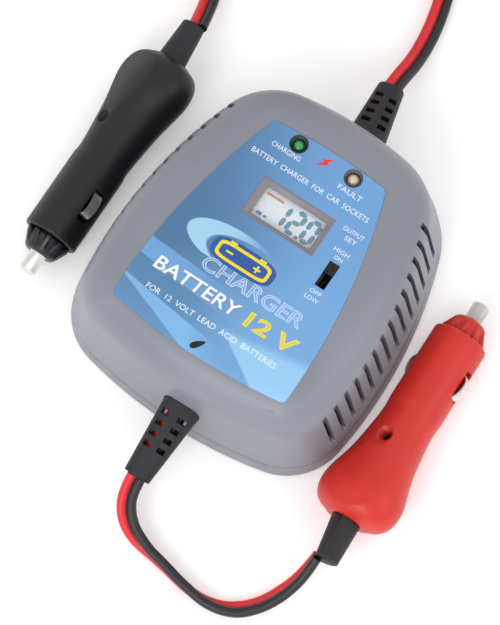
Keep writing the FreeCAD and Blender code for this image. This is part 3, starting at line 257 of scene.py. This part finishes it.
finishes = {
    # the screws are a dark grey steel
    "screw_steel": plated("dark_grey_steel", "#3A3B3F", 0.40),
    "black_plastic": moulded("black_moulding", "#15161A", 0.38),
    "black_cap_plastic": moulded("black_nose_cap", "#1B1C21", 0.36, grain=4.0),
    "black_rubber": moulded("black_soft_sleeve", "#1D1E22", 0.60, grain=3.0, depth=0.03),
    "board_laminate": moulded("green_board", "#1E5A34", 0.45, grain=1.2),
    "sink_aluminium": plated("extruded_aluminium", "#C9CBCE", 0.38, (0.1, 1.0, 1.0)),
    "chip_plastic": moulded("black_epoxy", "#1C1C1E", 0.62),
    "capacitor_sleeve": moulded("blue_black_sleeve", "#1A2138", 0.25),
    "core_ferrite": moulded("yellow_core_paint", "#C9A63A", 0.45, grain=1.0),
    "winding_copper": plated("enamelled_copper", "#C4703A", 0.28),
    "terminal_green": moulded("green_terminal", "#2F7A46", 0.35),
    "red_insulation": moulded("red_core_sleeve", "#D8262C", 0.42, grain=1.5, depth=0.02),
    "black_insulation": moulded("black_core_sleeve", "#1F2025", 0.42, grain=1.5, depth=0.02),
    "lead_insulation": moulded("lead_sleeve", "#1F2025", 0.42, grain=1.5, depth=0.02),
    "nickel_plate": plated("nickel_plate", "#E4E2DD", 0.34, scale=3.0),
    "spring_steel": plated("spring_wire", "#A9ACB2", 0.30),
    "contact_brass": plated("stamped_brass", "#C9A861", 0.30),
    "black_plug_plastic": moulded("black_plug_moulding", "#0D0D11", 0.46, grain=5.0, depth=0.008),
    "red_plug_plastic": moulded("red_plug_moulding", "#CC2619", 0.42, grain=5.0, depth=0.008),
}
print(len(finishes), "plain finishes")

# %% [markdown]
# ## The case's grey
# The case is one grey, except inside the sloped frame of the display and in the two rings round the lamps,
# where painted shade makes the recessed moulding warmer and darker, as it catches less light there. Those places are
# worked out from the frame's own boxes, so the painted shade sits exactly where the recesses are.


# %% Case grey
def middle_of(node):
    low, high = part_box(node)
    return [(a + b) / 2 / MM for a, b in zip(low, high)]


lens_x, lens_y, _ = middle_of("display_lens")
lamp_left, lamp_right = middle_of("led_charging"), middle_of("led_fault")


def case_grey():
    finish = Finish("case_grey")
    where, (x, y, z) = finish.place()
    slow = finish.noise(where, 0.02, 2.0)
    fine = finish.noise(where, 5.0, 3.0)
    grey = finish.mix(slow.step(0.3, 0.7), paint("#80838C"), paint("#888B95"))
    across, along = (x - lens_x).size(), (y - lens_y).size()
    # painted shade inside the display's sloped frame, where the recess catches less light
    frame_painted_shade = across.step(15.3, 14.9) * along.step(8.5, 8.2) * z.step(44.0, 45.5)
    grey = finish.mix(frame_painted_shade * 0.85, grey, paint("#857E84"))
    # painted shade in the recessed ring round each lamp
    for lamp, shade_tint in ((lamp_left, "#27412F"), (lamp_right, "#5F5B62")):
        dx, dy = x - lamp[0], y - lamp[1]
        away = (dx * dx + dy * dy).math("SQRT")
        ring = away.step(3.55, 3.45) * z.step(46.0, 46.8) * (1.0 - z.step(47.9, 48.0))
        grey = finish.mix(ring, grey, paint(shade_tint))
    finish.set({"base_color": grey})
    finish.set({"roughness": 0.40 + 0.08 * (slow - 0.5) + 0.06 * (fine - 0.5)})
    finish.bump(fine, 0.010 * MM, 0.6)
    return finish


finishes["grey_case"] = case_grey()

# %% [markdown]
# ## The printed label
# The label is a thin printed film. Its colour is a picture made of simple regions: a blue that lightens
# from left to right and towards the lower right, partly print and partly painted light, two pale bands that
# sweep in from the left edge, a pale corner, and a soft crescent behind the badge. Each region is a smooth step across
# a line or a curve in millimetres on the case.


# %% Label print
def label_print_and_painted_light():
    finish = Finish("label_film", coat_weight=0.1)
    where, (x, y, _) = finish.place()
    # the blue lightens from left to right: partly print, partly painted light
    wide = (x + 0.25 * y).step(-38.0, 22.0)
    blue = finish.mix(wide, paint("#457099"), paint("#6A9CD0"))
    # a broad lighter field towards the lower right: partly print, partly painted light
    lower_right_print_and_light = (x * 0.6 - y).step(-6.0, 40.0)
    blue = finish.mix(lower_right_print_and_light * 0.45, blue, paint("#78ACDE"))
    # first band: enters at the left edge and melts into the field
    band_top = y + 19.0 + 0.05 * (x + 36.0)
    band_foot = y + 26.0 + 0.10 * (x + 36.0)
    first = (1.0 - band_top.step(-0.3, 0.3)) * band_foot.step(-0.3, 0.3) * (1.0 - x.step(-22.0, 8.0))
    blue = finish.mix(first * 0.85, blue, paint("#6FA3D8"))
    # the darker wedge under it
    wedge_foot = y + 34.5 + 0.13 * (x + 36.0)
    wedge = (1.0 - band_foot.step(-0.3, 0.3)) * wedge_foot.step(-0.4, 0.4) * (1.0 - x.step(-26.0, 12.0))
    blue = finish.mix(wedge * 0.75, blue, paint("#507FA8"))
    # second band: a ray that widens downwards to the right
    ray_foot = y + 35.5 + 0.36 * (x + 36.0)
    ray = (1.0 - wedge_foot.step(-0.3, 0.3)) * ray_foot.step(-0.3, 0.3)
    ray = ray * (1.0 - (x + 0.6 * y).step(-32.0, -14.0))
    blue = finish.mix(ray * 0.8, blue, paint("#7DB5E6"))
    under = (1.0 - ray_foot.step(-0.3, 0.3)) * (1.0 - x.step(-20.0, 4.0))
    blue = finish.mix(under * 0.55, blue, paint("#5586B2"))
    # the pale corner between two lines
    corner_top = y + 29.0 + 0.17 * (34.0 - x)
    corner_side = y + 37.0 + 0.62 * (x - 9.0)
    corner = (1.0 - corner_top.step(-2.5, 2.5)) * corner_side.step(-0.5, 0.5)
    blue = finish.mix(corner * 0.75, blue, paint("#9ACDF0"))
    low_mid = (1.0 - corner_side.step(-0.5, 0.5)) * (y + 52.0 - 0.5 * x).step(-3.0, 3.0) * x.step(-6.0, 4.0)
    blue = finish.mix(low_mid * 0.35, blue, paint("#6C9FD0"))

    def ellipse(cx, cy, rx, ry):
        """1 on an ellipse with this middle and these half sizes, less inside and more outside."""
        ex, ey = (x - cx) * (1 / rx), (y - cy) * (1 / ry)
        return (ex * ex + ey * ey).math("SQRT")

    # the crescent: inside one ellipse and outside another, above a line and fading to the right
    crescent = ellipse(-9.0, -8.2, 18.4, 7.4).step(1.02, 0.98)
    crescent = crescent * ellipse(-2.5, -9.6, 16.0, 6.6).step(0.98, 1.04)
    crescent = crescent * (1.0 - x.step(-14.0, 6.0)) * (y + 14.6).step(-0.1, 0.1)
    blue = finish.mix(crescent * 0.9, blue, paint("#A6D8F0"))
    fine = finish.noise(where, 1.6, 2.0)
    finish.set({"base_color": blue, "roughness": 0.34 + 0.10 * (fine - 0.5)})
    finish.bump(fine, 0.004 * MM, 0.4)
    return finish


finishes["blue_label"] = label_print_and_painted_light()

# %% [markdown]
# ## Clear and coloured windows
# The display sits behind a clear window, and the lamps are cast in tinted resin. A window that is mostly
# see-through keeps its gloss and its shape when the model is exported, so it is a glossy film with a low
# alpha. The fuse's glass is the same with a little more body.


# %% Clear finishes
def clear(name, colour, alpha, rough=0.06):
    finish = Finish(name, base_color=paint(colour), ior=1.49)
    where, _ = finish.place()
    smear = finish.noise(where, 0.25, 2.0)
    finish.set({"alpha": alpha + 0.04 * (smear - 0.5), "roughness": rough + 0.05 * smear})
    return finish


def lamp_resin(name, core, rim, centre):
    """Cast resin with a painted highlight: lighter in the middle than at its rim."""
    finish = Finish(name, coat_weight=0.6, roughness=0.12)
    _, (x, y, _) = finish.place()
    dx, dy = x - centre[0], y - centre[1]
    away = (dx * dx + dy * dy).math("SQRT")
    # painted highlight: lighter in the middle, darker towards the rim
    finish.set({"base_color": finish.mix(away.step(0.5, 2.4), paint(core), paint(rim))})
    return finish


finishes["clear_lens"] = clear("clear_window", "#F2F6F8", 0.10)
finishes["fuse_glass"] = clear("fuse_tube", "#DDE3E6", 0.45)
finishes["lcd_glass"] = moulded("display_glass", "#E6EEF4", 0.22, grain=0.8, depth=0.0, drift=0.02)
finishes["green_lamp"] = lamp_resin("green_resin", "#3E9A5E", "#175A2C", lamp_left)
finishes["clear_lamp"] = lamp_resin("clear_resin", "#D9C6AE", "#8E8784", lamp_right)

# %% [markdown]
# ## Surfaces from arrays
# Every new piece is a grid of points worked out with numpy, turned into a mesh in one go. A grid has rows
# along the piece and columns round it, and its faces join each point to its neighbours.


# %% Mesh helpers
def grid_faces(rows, columns, ring=True):
    """Quads between neighbouring rows. With ring, the last column joins the first."""
    across = np.arange(columns if ring else columns - 1)
    here = np.arange(rows - 1)[:, None] * columns + across
    beside = np.arange(rows - 1)[:, None] * columns + (across + 1) % columns
    return np.stack([here, beside, beside + columns, here + columns], -1).reshape(-1, 4).tolist()


def piece(name, points, faces, finish_names, body, smooth_angle=40.0, indices=None):
    """A mesh from an array of points in metres, with its finishes, riding on a body."""
    mesh = bpy.data.meshes.new(name)
    mesh.from_pydata(np.asarray(points, float).reshape(-1, 3).tolist(), [], faces)
    for finish_name in finish_names:
        mesh.materials.append(finishes[finish_name].material)
    if indices is not None:
        mesh.polygons.foreach_set("material_index", np.asarray(indices, np.int32))
    mesh.polygons.foreach_set("use_smooth", np.ones(len(mesh.polygons), bool))
    mesh.set_sharp_from_angle(angle=math.radians(smooth_angle))
    mesh.update()
    made = bpy.data.objects.new(name, mesh)
    scene.collection.objects.link(made)
    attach(made, body)
    return made


def smooth_copy(node, smooth_angle=28.0):
    """A solid of the frame with its loose triangles merged and its curved faces smoothed."""
    source = frame["nodes"][node]
    work = bmesh.new()
    work.from_mesh(source.data)
    bmesh.ops.remove_doubles(work, verts=work.verts, dist=2e-7)
    mesh = bpy.data.meshes.new(node + "_surface")
    work.to_mesh(mesh)
    work.free()
    mesh.materials.clear()
    mesh.materials.append(finishes[slot_of[node]].material)
    mesh.polygons.foreach_set("use_smooth", np.ones(len(mesh.polygons), bool))
    mesh.polygons.foreach_set("material_index", np.zeros(len(mesh.polygons), np.int32))
    mesh.set_sharp_from_angle(angle=math.radians(smooth_angle))
    made = bpy.data.objects.new(node + "_surface", mesh)
    scene.collection.objects.link(made)
    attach(made, body_of[node])
    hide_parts(node)
    return made


# %% [markdown]
# ## The twin lead
# The lead is two insulated cores moulded side by side, one red and one black, like a figure of eight. It
# lies where gravity and its own stiffness put it: out of the relief, down to the table, then along it. Its
# route is a smooth spline through a few given points, and the section is carried along the route and
# slowly turned, so first both colours show and further on the black core lies over the red.


# %% Lead section and sweep
CORE_RADIUS = 1.8 * MM
CORE_OFFSET = 1.75 * MM


def spline_points(name, route, steps):
    """The points of a smooth spline whose control points are the route's, in metres."""
    data = bpy.data.curves.new(name, "CURVE")
    data.dimensions = "3D"
    data.resolution_u = steps
    spline = data.splines.new("NURBS")
    spline.points.add(len(route) - 1)
    spline.points.foreach_set("co", [c for p in route for c in (*(np.array(p) * MM), 1.0)])
    spline.order_u = 3
    spline.use_endpoint_u = True
    holder = bpy.data.objects.new(name, data)
    mesh = bpy.data.meshes.new_from_object(holder)
    points = np.array([v.co for v in mesh.vertices])
    bpy.data.objects.remove(holder)
    bpy.data.meshes.remove(mesh)
    bpy.data.curves.remove(data)
    return points


def lengths_along(points):
    return np.concatenate([[0.0], np.cumsum(np.linalg.norm(np.diff(points, axis=0), axis=1))])


def figure_of_eight(steps=15):
    """Two circles side by side, each left open where it meets the other: the red one first."""
    turn = np.radians(np.linspace(-160, 160, steps))
    lobe = np.stack([CORE_OFFSET + CORE_RADIUS * np.cos(turn), CORE_RADIUS * np.sin(turn)], -1)
    return np.concatenate([lobe, -lobe])


def twin_lead(name, route, turns, steps=10):
    """The section swept along the route. turns lists (share of the length, degrees from flat).

    Each point is the route's point plus the section's width along a flat direction and its height
    along the direction square to that. The flat direction is the level one turned by the angle."""
    points = spline_points(name, route, steps)
    along = lengths_along(points)
    way = np.gradient(points, along, axis=0)
    way /= np.linalg.norm(way, axis=1)[:, None]
    level = np.cross([0.0, 0.0, 1.0], way)
    level /= np.linalg.norm(level, axis=1)[:, None]
    over = np.cross(way, level)
    shares, degrees = np.array(turns, float).T
    angle = np.radians(np.interp(along / along[-1], shares, degrees))[:, None]
    wide = np.cos(angle) * level + np.sin(angle) * over
    thick = np.cross(way, wide)
    section = figure_of_eight()
    body = points[:, None] + section[None, :, :1] * wide[:, None] + section[None, :, 1:] * thick[:, None]
    rows, columns = body.shape[:2]
    faces = grid_faces(rows, columns)
    faces = [face[::-1] for face in faces]
    red = (np.arange(columns) < columns // 2).astype(np.int32)
    indices = np.tile(1 - red, rows - 1).tolist() + [1, 1]
    faces += [list(range(columns)), list(range(len(body) * columns - 1, (rows - 1) * columns - 1, -1))]
    made = piece(name, body, faces, ["red_insulation", "black_insulation"], "charger", 50.0, indices)
    print(f"{name}: {along[-1] / MM:.0f} mm long, {len(faces)} faces")
    return made, points, along[-1]


# %% [markdown]
# ## The lower lead
# The near lead is short, and all of it shows: it bends round below the case and runs up to the red plug.

# %% Lower lead
LOWER_ROUTE = [
    (3.0, -87.0, 15.6), (3.1, -92.6, 12.6), (5.6, -98.2, 9.2), (10.6, -102.4, 6.2), (17.6, -104.6, 4.3),
    (26.5, -106.0, 3.8), (36.5, -108.3, 3.7), (47.0, -109.2, 3.8), (56.4, -106.1, 3.7), (63.4, -99.2, 4.8),
    (67.9, -90.6, 7.4), (70.3, -82.4, 10.3), (70.85, -75.66, 14.36),
]
lower_turns = [(0, 180), (0.12, 185), (0.30, 262), (0.48, 275), (0.66, 322), (0.82, 318), (1.0, 285)]
lower_lead, lower_points, lower_length = twin_lead("lower_twin_lead", LOWER_ROUTE, lower_turns)
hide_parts("lower_lead")

# %% [markdown]
# ## The upper lead
# The far lead is a couple of metres long on the real thing. The part that shows runs out from the case
# and comes back to the black plug; the rest is put away in a neat coil held by a band. A coil is a loop
# in code: each turn has its own radius and layer, and drifts to the next over its last third.

# %% Upper lead
OUT_ROUTE = [
    (-0.6, 81.0, 15.6), (-0.9, 88.0, 12.2), (-0.6, 95.6, 8.4), (-1.2, 104.0, 5.0), (-2.6, 114.0, 3.9),
    (-5.6, 125.5, 3.8), (-10.2, 138.0, 4.3), (-14.0, 151.0, 4.8),
]
RETURN_ROUTE = [
    (-109.6, 151.0, 18.2), (-108.9, 139.0, 14.2), (-106.0, 126.5, 9.4), (-101.0, 114.5, 5.4),
    (-94.4, 103.6, 3.9), (-86.8, 94.0, 3.8), (-80.0, 85.2, 4.2), (-75.4, 76.6, 7.0), (-71.7, 62.5, 16.0),
]
COIL_CENTRE = (-62.0, 170.0)
TURN_PITCH = 7.2
OUTER, MIDDLE, INNER = 47.4, 40.2, 33.0
COIL_CELLS = [
    (OUTER, 0), (MIDDLE, 0), (INNER, 0), (INNER, 1), (INNER, 2), (MIDDLE, 2), (MIDDLE, 1), (OUTER, 1), (OUTER, 2),
]
POINTS_PER_TURN = 16


def coil_route():
    """Turn by turn round the coil's middle, half a turn into the last cell."""
    route = []
    for step in range(int((len(COIL_CELLS) - 0.5) * POINTS_PER_TURN) + 1):
        turn_number, part = divmod(step, POINTS_PER_TURN)
        here = COIL_CELLS[turn_number]
        after = COIL_CELLS[min(turn_number + 1, len(COIL_CELLS) - 1)]
        drift = min(1.0, max(0.0, (part / POINTS_PER_TURN - 0.66) / 0.34))
        radius = here[0] + (after[0] - here[0]) * drift
        layer = here[1] + (after[1] - here[1]) * drift
        angle = 2 * math.pi * step / POINTS_PER_TURN
        x, y = COIL_CENTRE[0] + radius * math.cos(angle), COIL_CENTRE[1] + radius * math.sin(angle)
        route.append((x, y, 4.6 + layer * TURN_PITCH))
    return route


coil_points = coil_route()
upper_route = OUT_ROUTE + coil_points + RETURN_ROUTE
share_out, share_back = 0.030, 0.955
coil_twist = 360 * 4 + 180
upper_turns = [(0, 0), (share_out, 20), (share_back, coil_twist), (1.0, coil_twist)]
upper_lead, upper_points, upper_length = twin_lead("upper_twin_lead", upper_route, upper_turns, 8)
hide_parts("upper_lead", "upper_lead_coil", "upper_lead_return")

# %% [markdown]
# ## The case and its fittings
# These solids already have their true shape, so each gets a smooth surface and its finish. The inner
# parts keep their own meshes, because they show only when the case is opened.

# %% Surfaces of the frame's solids
SHOWN = [
    "upper_shell", "lower_shell", "case_screws", "front_label", "display_lens", "lcd_panel", "led_charging",
    "led_fault", "switch_body", "switch_knob", "lower_strain_relief", "upper_strain_relief", "coil_tie",
    "inner_red_wires", "inner_black_wires",
]
PLUG_SHOWN = [
    "top_shell", "bottom_shell", "screw", "nose_cap", "tip_pin", "left_contact", "right_contact", "boot",
]
surfaces = {node: smooth_copy(node) for node in SHOWN}
for colour in ("red", "black"):
    for word in PLUG_SHOWN:
        node = f"{colour}_plug_{word}"
        surfaces[node] = smooth_copy(node)
for node, solid in frame["nodes"].items():
    if node not in surfaces:
        solid.data.materials.clear()
        solid.data.materials.append(finishes[slot_of[node]].material)
print(len(surfaces), "smooth surfaces")

# %% [markdown]
# ## The floors of the relief windows
# A strain relief is moulded round the lead, so rubber closes each window below the cores. A thin sloping
# sheet in each relief, just under the cores' middle, stands for it.


# %% Relief floors
def relief_floor(name, root, tip, half_width, drop):
    """A flat sheet from root to tip, in millimetres, half_width each side and drop below the line."""
    root, tip = np.array(root, float), np.array(tip, float)
    corners = []
    for level in (-drop - 0.4, -drop):
        for end in (root, tip):
            corners += [end + [side * half_width, 0, level] for side in (-1, 1)]
    order = [0, 1, 3, 2, 4, 5, 7, 6]
    points = np.array([corners[i] for i in order])
    faces = [[3, 2, 1, 0], [4, 5, 6, 7]] + [[i, (i + 1) % 4, (i + 1) % 4 + 4, i + 4] for i in range(4)]
    if (tip - root)[1] < 0:
        faces = [face[::-1] for face in faces]
    made = piece(name, points * MM, faces, ["black_rubber"], "charger")
    return made


relief_floor("lower_relief_floor", (3.5, -64.5, 22.4), (3.02, -86.0, 15.9), 4.2, 0.3)
relief_floor("upper_relief_floor", (3.5, 64.5, 21.6), (-0.35, 80.0, 16.1), 4.2, 0.3)

# %% [markdown]
# ## Flat print: plates, letters and segments
# Print on a label is a very thin layer of ink. Here each mark is a thin closed plate that stands a few
# hundredths of a millimetre above the film, so it keeps a crisp edge from any distance.

# %% Thin plates
label_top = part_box("front_label")[1].z / MM
INK = 0.03


def ink(name, colour, rough=0.35):
    finishes[name] = moulded(name, colour, rough, grain=3.0, depth=0.002, drift=0.03)
    return name


ink("white_ink", "#E9F0FA")
ink("lilac_ink", "#C3D6F3")
ink("yellow_ink", "#EBD52E")
ink("navy_ink", "#27519A")
ink("red_ink", "#E8261E")
ink("black_ink", "#0B090A", 0.6)
ink("shadow_ink", "#7E8FA6")
ink("display_ink", "#067C9E", 0.3)
ink("orange_ink", "#D9674A", 0.3)


def plate(outline, foot, top):
    """A closed plate from an outline in millimetres: its points and faces."""
    outline = np.asarray(outline, float)
    count = len(outline)
    low = np.column_stack([outline, np.full(count, foot)])
    high = np.column_stack([outline, np.full(count, top)])
    faces = [list(range(count - 1, -1, -1)), list(range(count, 2 * count))]
    faces += [[i, (i + 1) % count, (i + 1) % count + count, i + count] for i in range(count)]
    return np.concatenate([low, high]), faces


def band(outer, inner, foot, top):
    """A closed flat ring between two outlines with the same number of points."""
    outer, inner = np.asarray(outer, float), np.asarray(inner, float)
    count = len(outer)
    rings = [(outer, foot), (outer, top), (inner, top), (inner, foot)]
    points = np.concatenate([np.column_stack([o, np.full(count, z)]) for o, z in rings])
    quads = np.array(grid_faces(4, count))
    last = np.arange(count)
    closing = np.stack([last + 3 * count, (last + 1) % count + 3 * count, (last + 1) % count, last], -1)
    return points, quads.tolist() + closing.tolist()


def together(parts):
    """Several (points, faces) as one."""
    points, faces, start = [], [], 0
    for some_points, some_faces in parts:
        points.append(some_points)
        faces += [[i + start for i in face] for face in some_faces]
        start += len(some_points)
    return np.concatenate(points), faces


def printed(name, parts, ink_name):
    points, faces = together(parts)
    made = piece(name, points * MM, faces, [ink_name], "charger", 30.0)
    return made


# %% [markdown]
# ## Lettering
# Blender's text objects hold real outlines. Filled, they make solid letters; with no fill and a fine bevel
# they make the open outline letters of the two large words. Each word is turned into a mesh, leaned and
# scaled to its space on the label, and only generic words are used.


# %% Words
def word_mesh(text, x, y, width, height, lean=0.0, outline=0.0, weight=0.0, lift=0.0):
    """A word that fills width by height from its lower left corner, in millimetres."""
    data = bpy.data.curves.new(text, "FONT")
    data.body = text
    data.resolution_u = 3
    data.offset = weight
    data.extrude = 0.0 if outline else 0.01
    if outline:
        data.fill_mode = "NONE"
        data.bevel_depth = outline
        data.bevel_resolution = 1
    holder = bpy.data.objects.new(text, data)
    mesh = bpy.data.meshes.new_from_object(holder)
    points = np.zeros(len(mesh.vertices) * 3)
    mesh.vertices.foreach_get("co", points)
    points = points.reshape(-1, 3)
    faces = [list(p.vertices) for p in mesh.polygons]
    bpy.data.objects.remove(holder)
    bpy.data.meshes.remove(mesh)
    bpy.data.curves.remove(data)
    low, high = points.min(0), points.max(0)
    flat_points = (points[:, :2] - low[:2]) / (high[:2] - low[:2]) * [width, height]
    flat_points[:, 0] += lean * flat_points[:, 1]
    level = (points[:, 2] - low[2]) / (high[2] - low[2]) * INK + label_top + lift
    return np.column_stack([flat_points + [x, y], level]), faces


white_words = [
    word_mesh("CHARGING", -19.4, 31.1, 11.6, 1.9),
    word_mesh("FAULT", 8.4, 30.6, 9.6, 1.9),
    word_mesh("BATTERY  CHARGER  FOR  CAR  SOCKETS", -24.0, 25.5, 48.0, 2.0),
    word_mesh("OUTPUT", 18.2, 19.2, 8.2, 1.7),
    word_mesh("SET", 20.5, 16.3, 4.6, 1.7),
    word_mesh("HIGH", 19.6, 11.2, 6.0, 1.6),
    word_mesh("ON", 21.2, 8.7, 3.4, 1.4),
    word_mesh("OFF", 20.6, -5.6, 4.6, 1.4),
    word_mesh("LOW", 20.2, -8.4, 5.4, 1.6),
    word_mesh("FOR  12  VOLT  LEAD  ACID  BATTERIES", -27.0, -35.6, 53.0, 2.1),
]
printed("label_small_words", white_words, "white_ink")
battery_word = word_mesh("BATTERY", -29.2, -28.0, 33.6, 5.0, 0.12, weight=0.012, lift=0.02)
battery_shadow = word_mesh("BATTERY", -28.7, -28.5, 33.6, 5.0, 0.12, weight=0.012)
charger_word = word_mesh("CHARGER", -15.8, -19.4, 41.0, 5.6, 0.10, outline=0.022)
volts_word = word_mesh("12 V", 8.0, -28.6, 20.0, 6.0, 0.10, outline=0.038)
printed("label_battery_word", [battery_word], "white_ink")
printed("label_battery_word_shadow", [battery_shadow], "shadow_ink")
printed("label_charger_word", [charger_word], "lilac_ink")
printed("label_volts_word", [volts_word], "yellow_ink")

# %% [markdown]
# ## Pictograms
# A battery badge stands in the middle of the label: a blue plate, a yellow outline with two terminals, and
# a plus and a minus. Two small marks, a red bolt and a black drop, sit at the ends of the label.


# %% Badge and marks
def rounded_box(cx, cy, half_width, half_height, power=5.0, count=48):
    """A superellipse: |x/a| to a power plus |y/b| to the same power is 1."""
    angle = np.linspace(0, 2 * np.pi, count, endpoint=False)
    c, s = np.cos(angle), np.sin(angle)
    x = cx + half_width * np.sign(c) * np.abs(c) ** (2 / power)
    y = cy + half_height * np.sign(s) * np.abs(s) ** (2 / power)
    return np.stack([x, y], -1)


def bar(cx, cy, width, height):
    """The four corners of an upright bar round a middle."""
    left, right_side, low, high = cx - width / 2, cx + width / 2, cy - height / 2, cy + height / 2
    return [(left, low), (right_side, low), (right_side, high), (left, high)]


foot = label_top - 0.02
badge = (-4.0, -9.4)
printed("badge_plate", [plate(rounded_box(*badge, 12.6, 4.7, 3.2), foot, label_top + INK)], "navy_ink")
badge_top = label_top + 2 * INK
battery = [band(rounded_box(*badge, 10.6, 3.4), rounded_box(*badge, 9.4, 2.3), foot, badge_top)]
battery += [plate(bar(badge[0] + side * 6.0, badge[1] + 3.75, 2.6, 0.8), foot, badge_top) for side in (-1, 1)]
battery += [plate(bar(badge[0] + side * 5.6, badge[1], 2.8, 0.7), foot, badge_top) for side in (-1, 1)]
battery += [plate(bar(badge[0] + 5.6, badge[1] + up * 0.87, 0.7, 1.05), foot, badge_top) for up in (-1, 1)]
printed("badge_battery", battery, "yellow_ink")
bolt = [(2.6, 38.6), (-1.6, 36.6), (-0.4, 36.2), (-2.8, 33.4), (1.8, 36.0), (0.6, 36.5)]
printed("red_bolt_mark", [plate(bolt[::-1], foot, label_top + INK)], "red_ink")
drop_angle = np.linspace(0, 2 * np.pi, 24, endpoint=False)
drop = np.stack([2.9 * np.cos(drop_angle), 0.95 * np.sin(drop_angle) * (1.15 - 0.5 * np.cos(drop_angle))], -1)
lean_angle = math.radians(47)
lean_cos, lean_sin = math.cos(lean_angle), math.sin(lean_angle)
turned = drop @ np.array([[lean_cos, lean_sin], [-lean_sin, lean_cos]])
printed("black_drop_mark", [plate(turned + [-0.6, -42.6], foot - 0.3, label_top + 0.01)], "black_ink")

# %% [markdown]
# ## The display's segments
# A liquid-crystal digit is seven bars with pointed ends. Each bar is a six-sided plate, and a digit is the
# list of its bars that are dark. The whole number leans a little, as display digits do.

# %% Display digits
lcd_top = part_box("lcd_panel")[1].z / MM
BARS = {"1": "bc", "2": "abged", "0": "abcdef"}


def display_plate(outline):
    """A dark patch on the display's glass."""
    return plate(outline, lcd_top - 0.02, lcd_top + 0.04)


def segment(start, end, half):
    """A bar with pointed ends from start to end."""
    start, end = np.array(start, float), np.array(end, float)
    way = (end - start) / np.linalg.norm(end - start)
    side = np.array([-way[1], way[0]]) * half
    start, end = start + way * 0.12, end - way * 0.12
    inner_a, inner_b = start + way * half, end - way * half
    return [start, inner_a - side, inner_b - side, end, inner_b + side, inner_a + side]


def digit(sign, x, y, width, height, half=0.86, lean=0.08):
    corners = {"tl": (0, height), "tr": (width, height), "ml": (0, height / 2), "mr": (width, height / 2),
               "bl": (0, 0), "br": (width, 0)}
    ends = {"a": ("tl", "tr"), "b": ("tr", "mr"), "c": ("mr", "br"), "d": ("bl", "br"), "e": ("bl", "ml"),
            "f": ("ml", "tl"), "g": ("ml", "mr")}
    plates = []
    for bar_name in BARS[sign]:
        outline = np.array(segment(corners[ends[bar_name][0]], corners[ends[bar_name][1]], half))
        outline[:, 0] += lean * outline[:, 1]
        area = np.sum(outline[:, 0] * np.roll(outline[:, 1], -1) - np.roll(outline[:, 0], -1) * outline[:, 1])
        outline = outline if area > 0 else outline[::-1]
        plates.append(display_plate(outline + [x, y]))
    return plates


DIGIT_FOOT, DIGIT_WIDTH, DIGIT_HEIGHT = 8.9, 3.5, 8.2
digits = []
for sign, x in (("1", -5.0), ("2", 0.9), ("0", 7.0)):
    digits += digit(sign, x, DIGIT_FOOT, DIGIT_WIDTH, DIGIT_HEIGHT)
digits += [display_plate(bar(*place)) for place in ((5.7, 8.7, 1.3, 1.3), (-9.9, 9.2, 2.2, 1.3), (-7.4, 9.2, 1.2, 0.8))]
printed("display_digits", digits, "display_ink")
printed("display_strip", [display_plate(bar(-8.0, 17.0, 7.0, 0.9))], "orange_ink")

# %% [markdown]
# ## Table
# The table is a plain white sheet at height zero: the case, the plugs and the leads stand on it. It glows
# very slightly, as a lit sweep does, so the shadows stay soft and pale.

# %% Table
finishes["table_white"] = moulded("table_white", "#FAFAFA", 0.75, grain=0.3, depth=0.0, drift=0.01)
finishes["table_white"].set({"emission_color": (1.0, 1.0, 1.0, 1.0), "emission_strength": 0.2})
half_table = 1.5
table_points = [(side * half_table, end * half_table, 0) for side, end in ((-1, -1), (1, -1), (1, 1), (-1, 1))]
table_mesh = bpy.data.meshes.new("table")
table_mesh.from_pydata(table_points, [], [[0, 1, 2, 3]])
table_mesh.materials.append(finishes["table_white"].material)
table = bpy.data.objects.new("table", table_mesh)
scene.collection.objects.link(table)
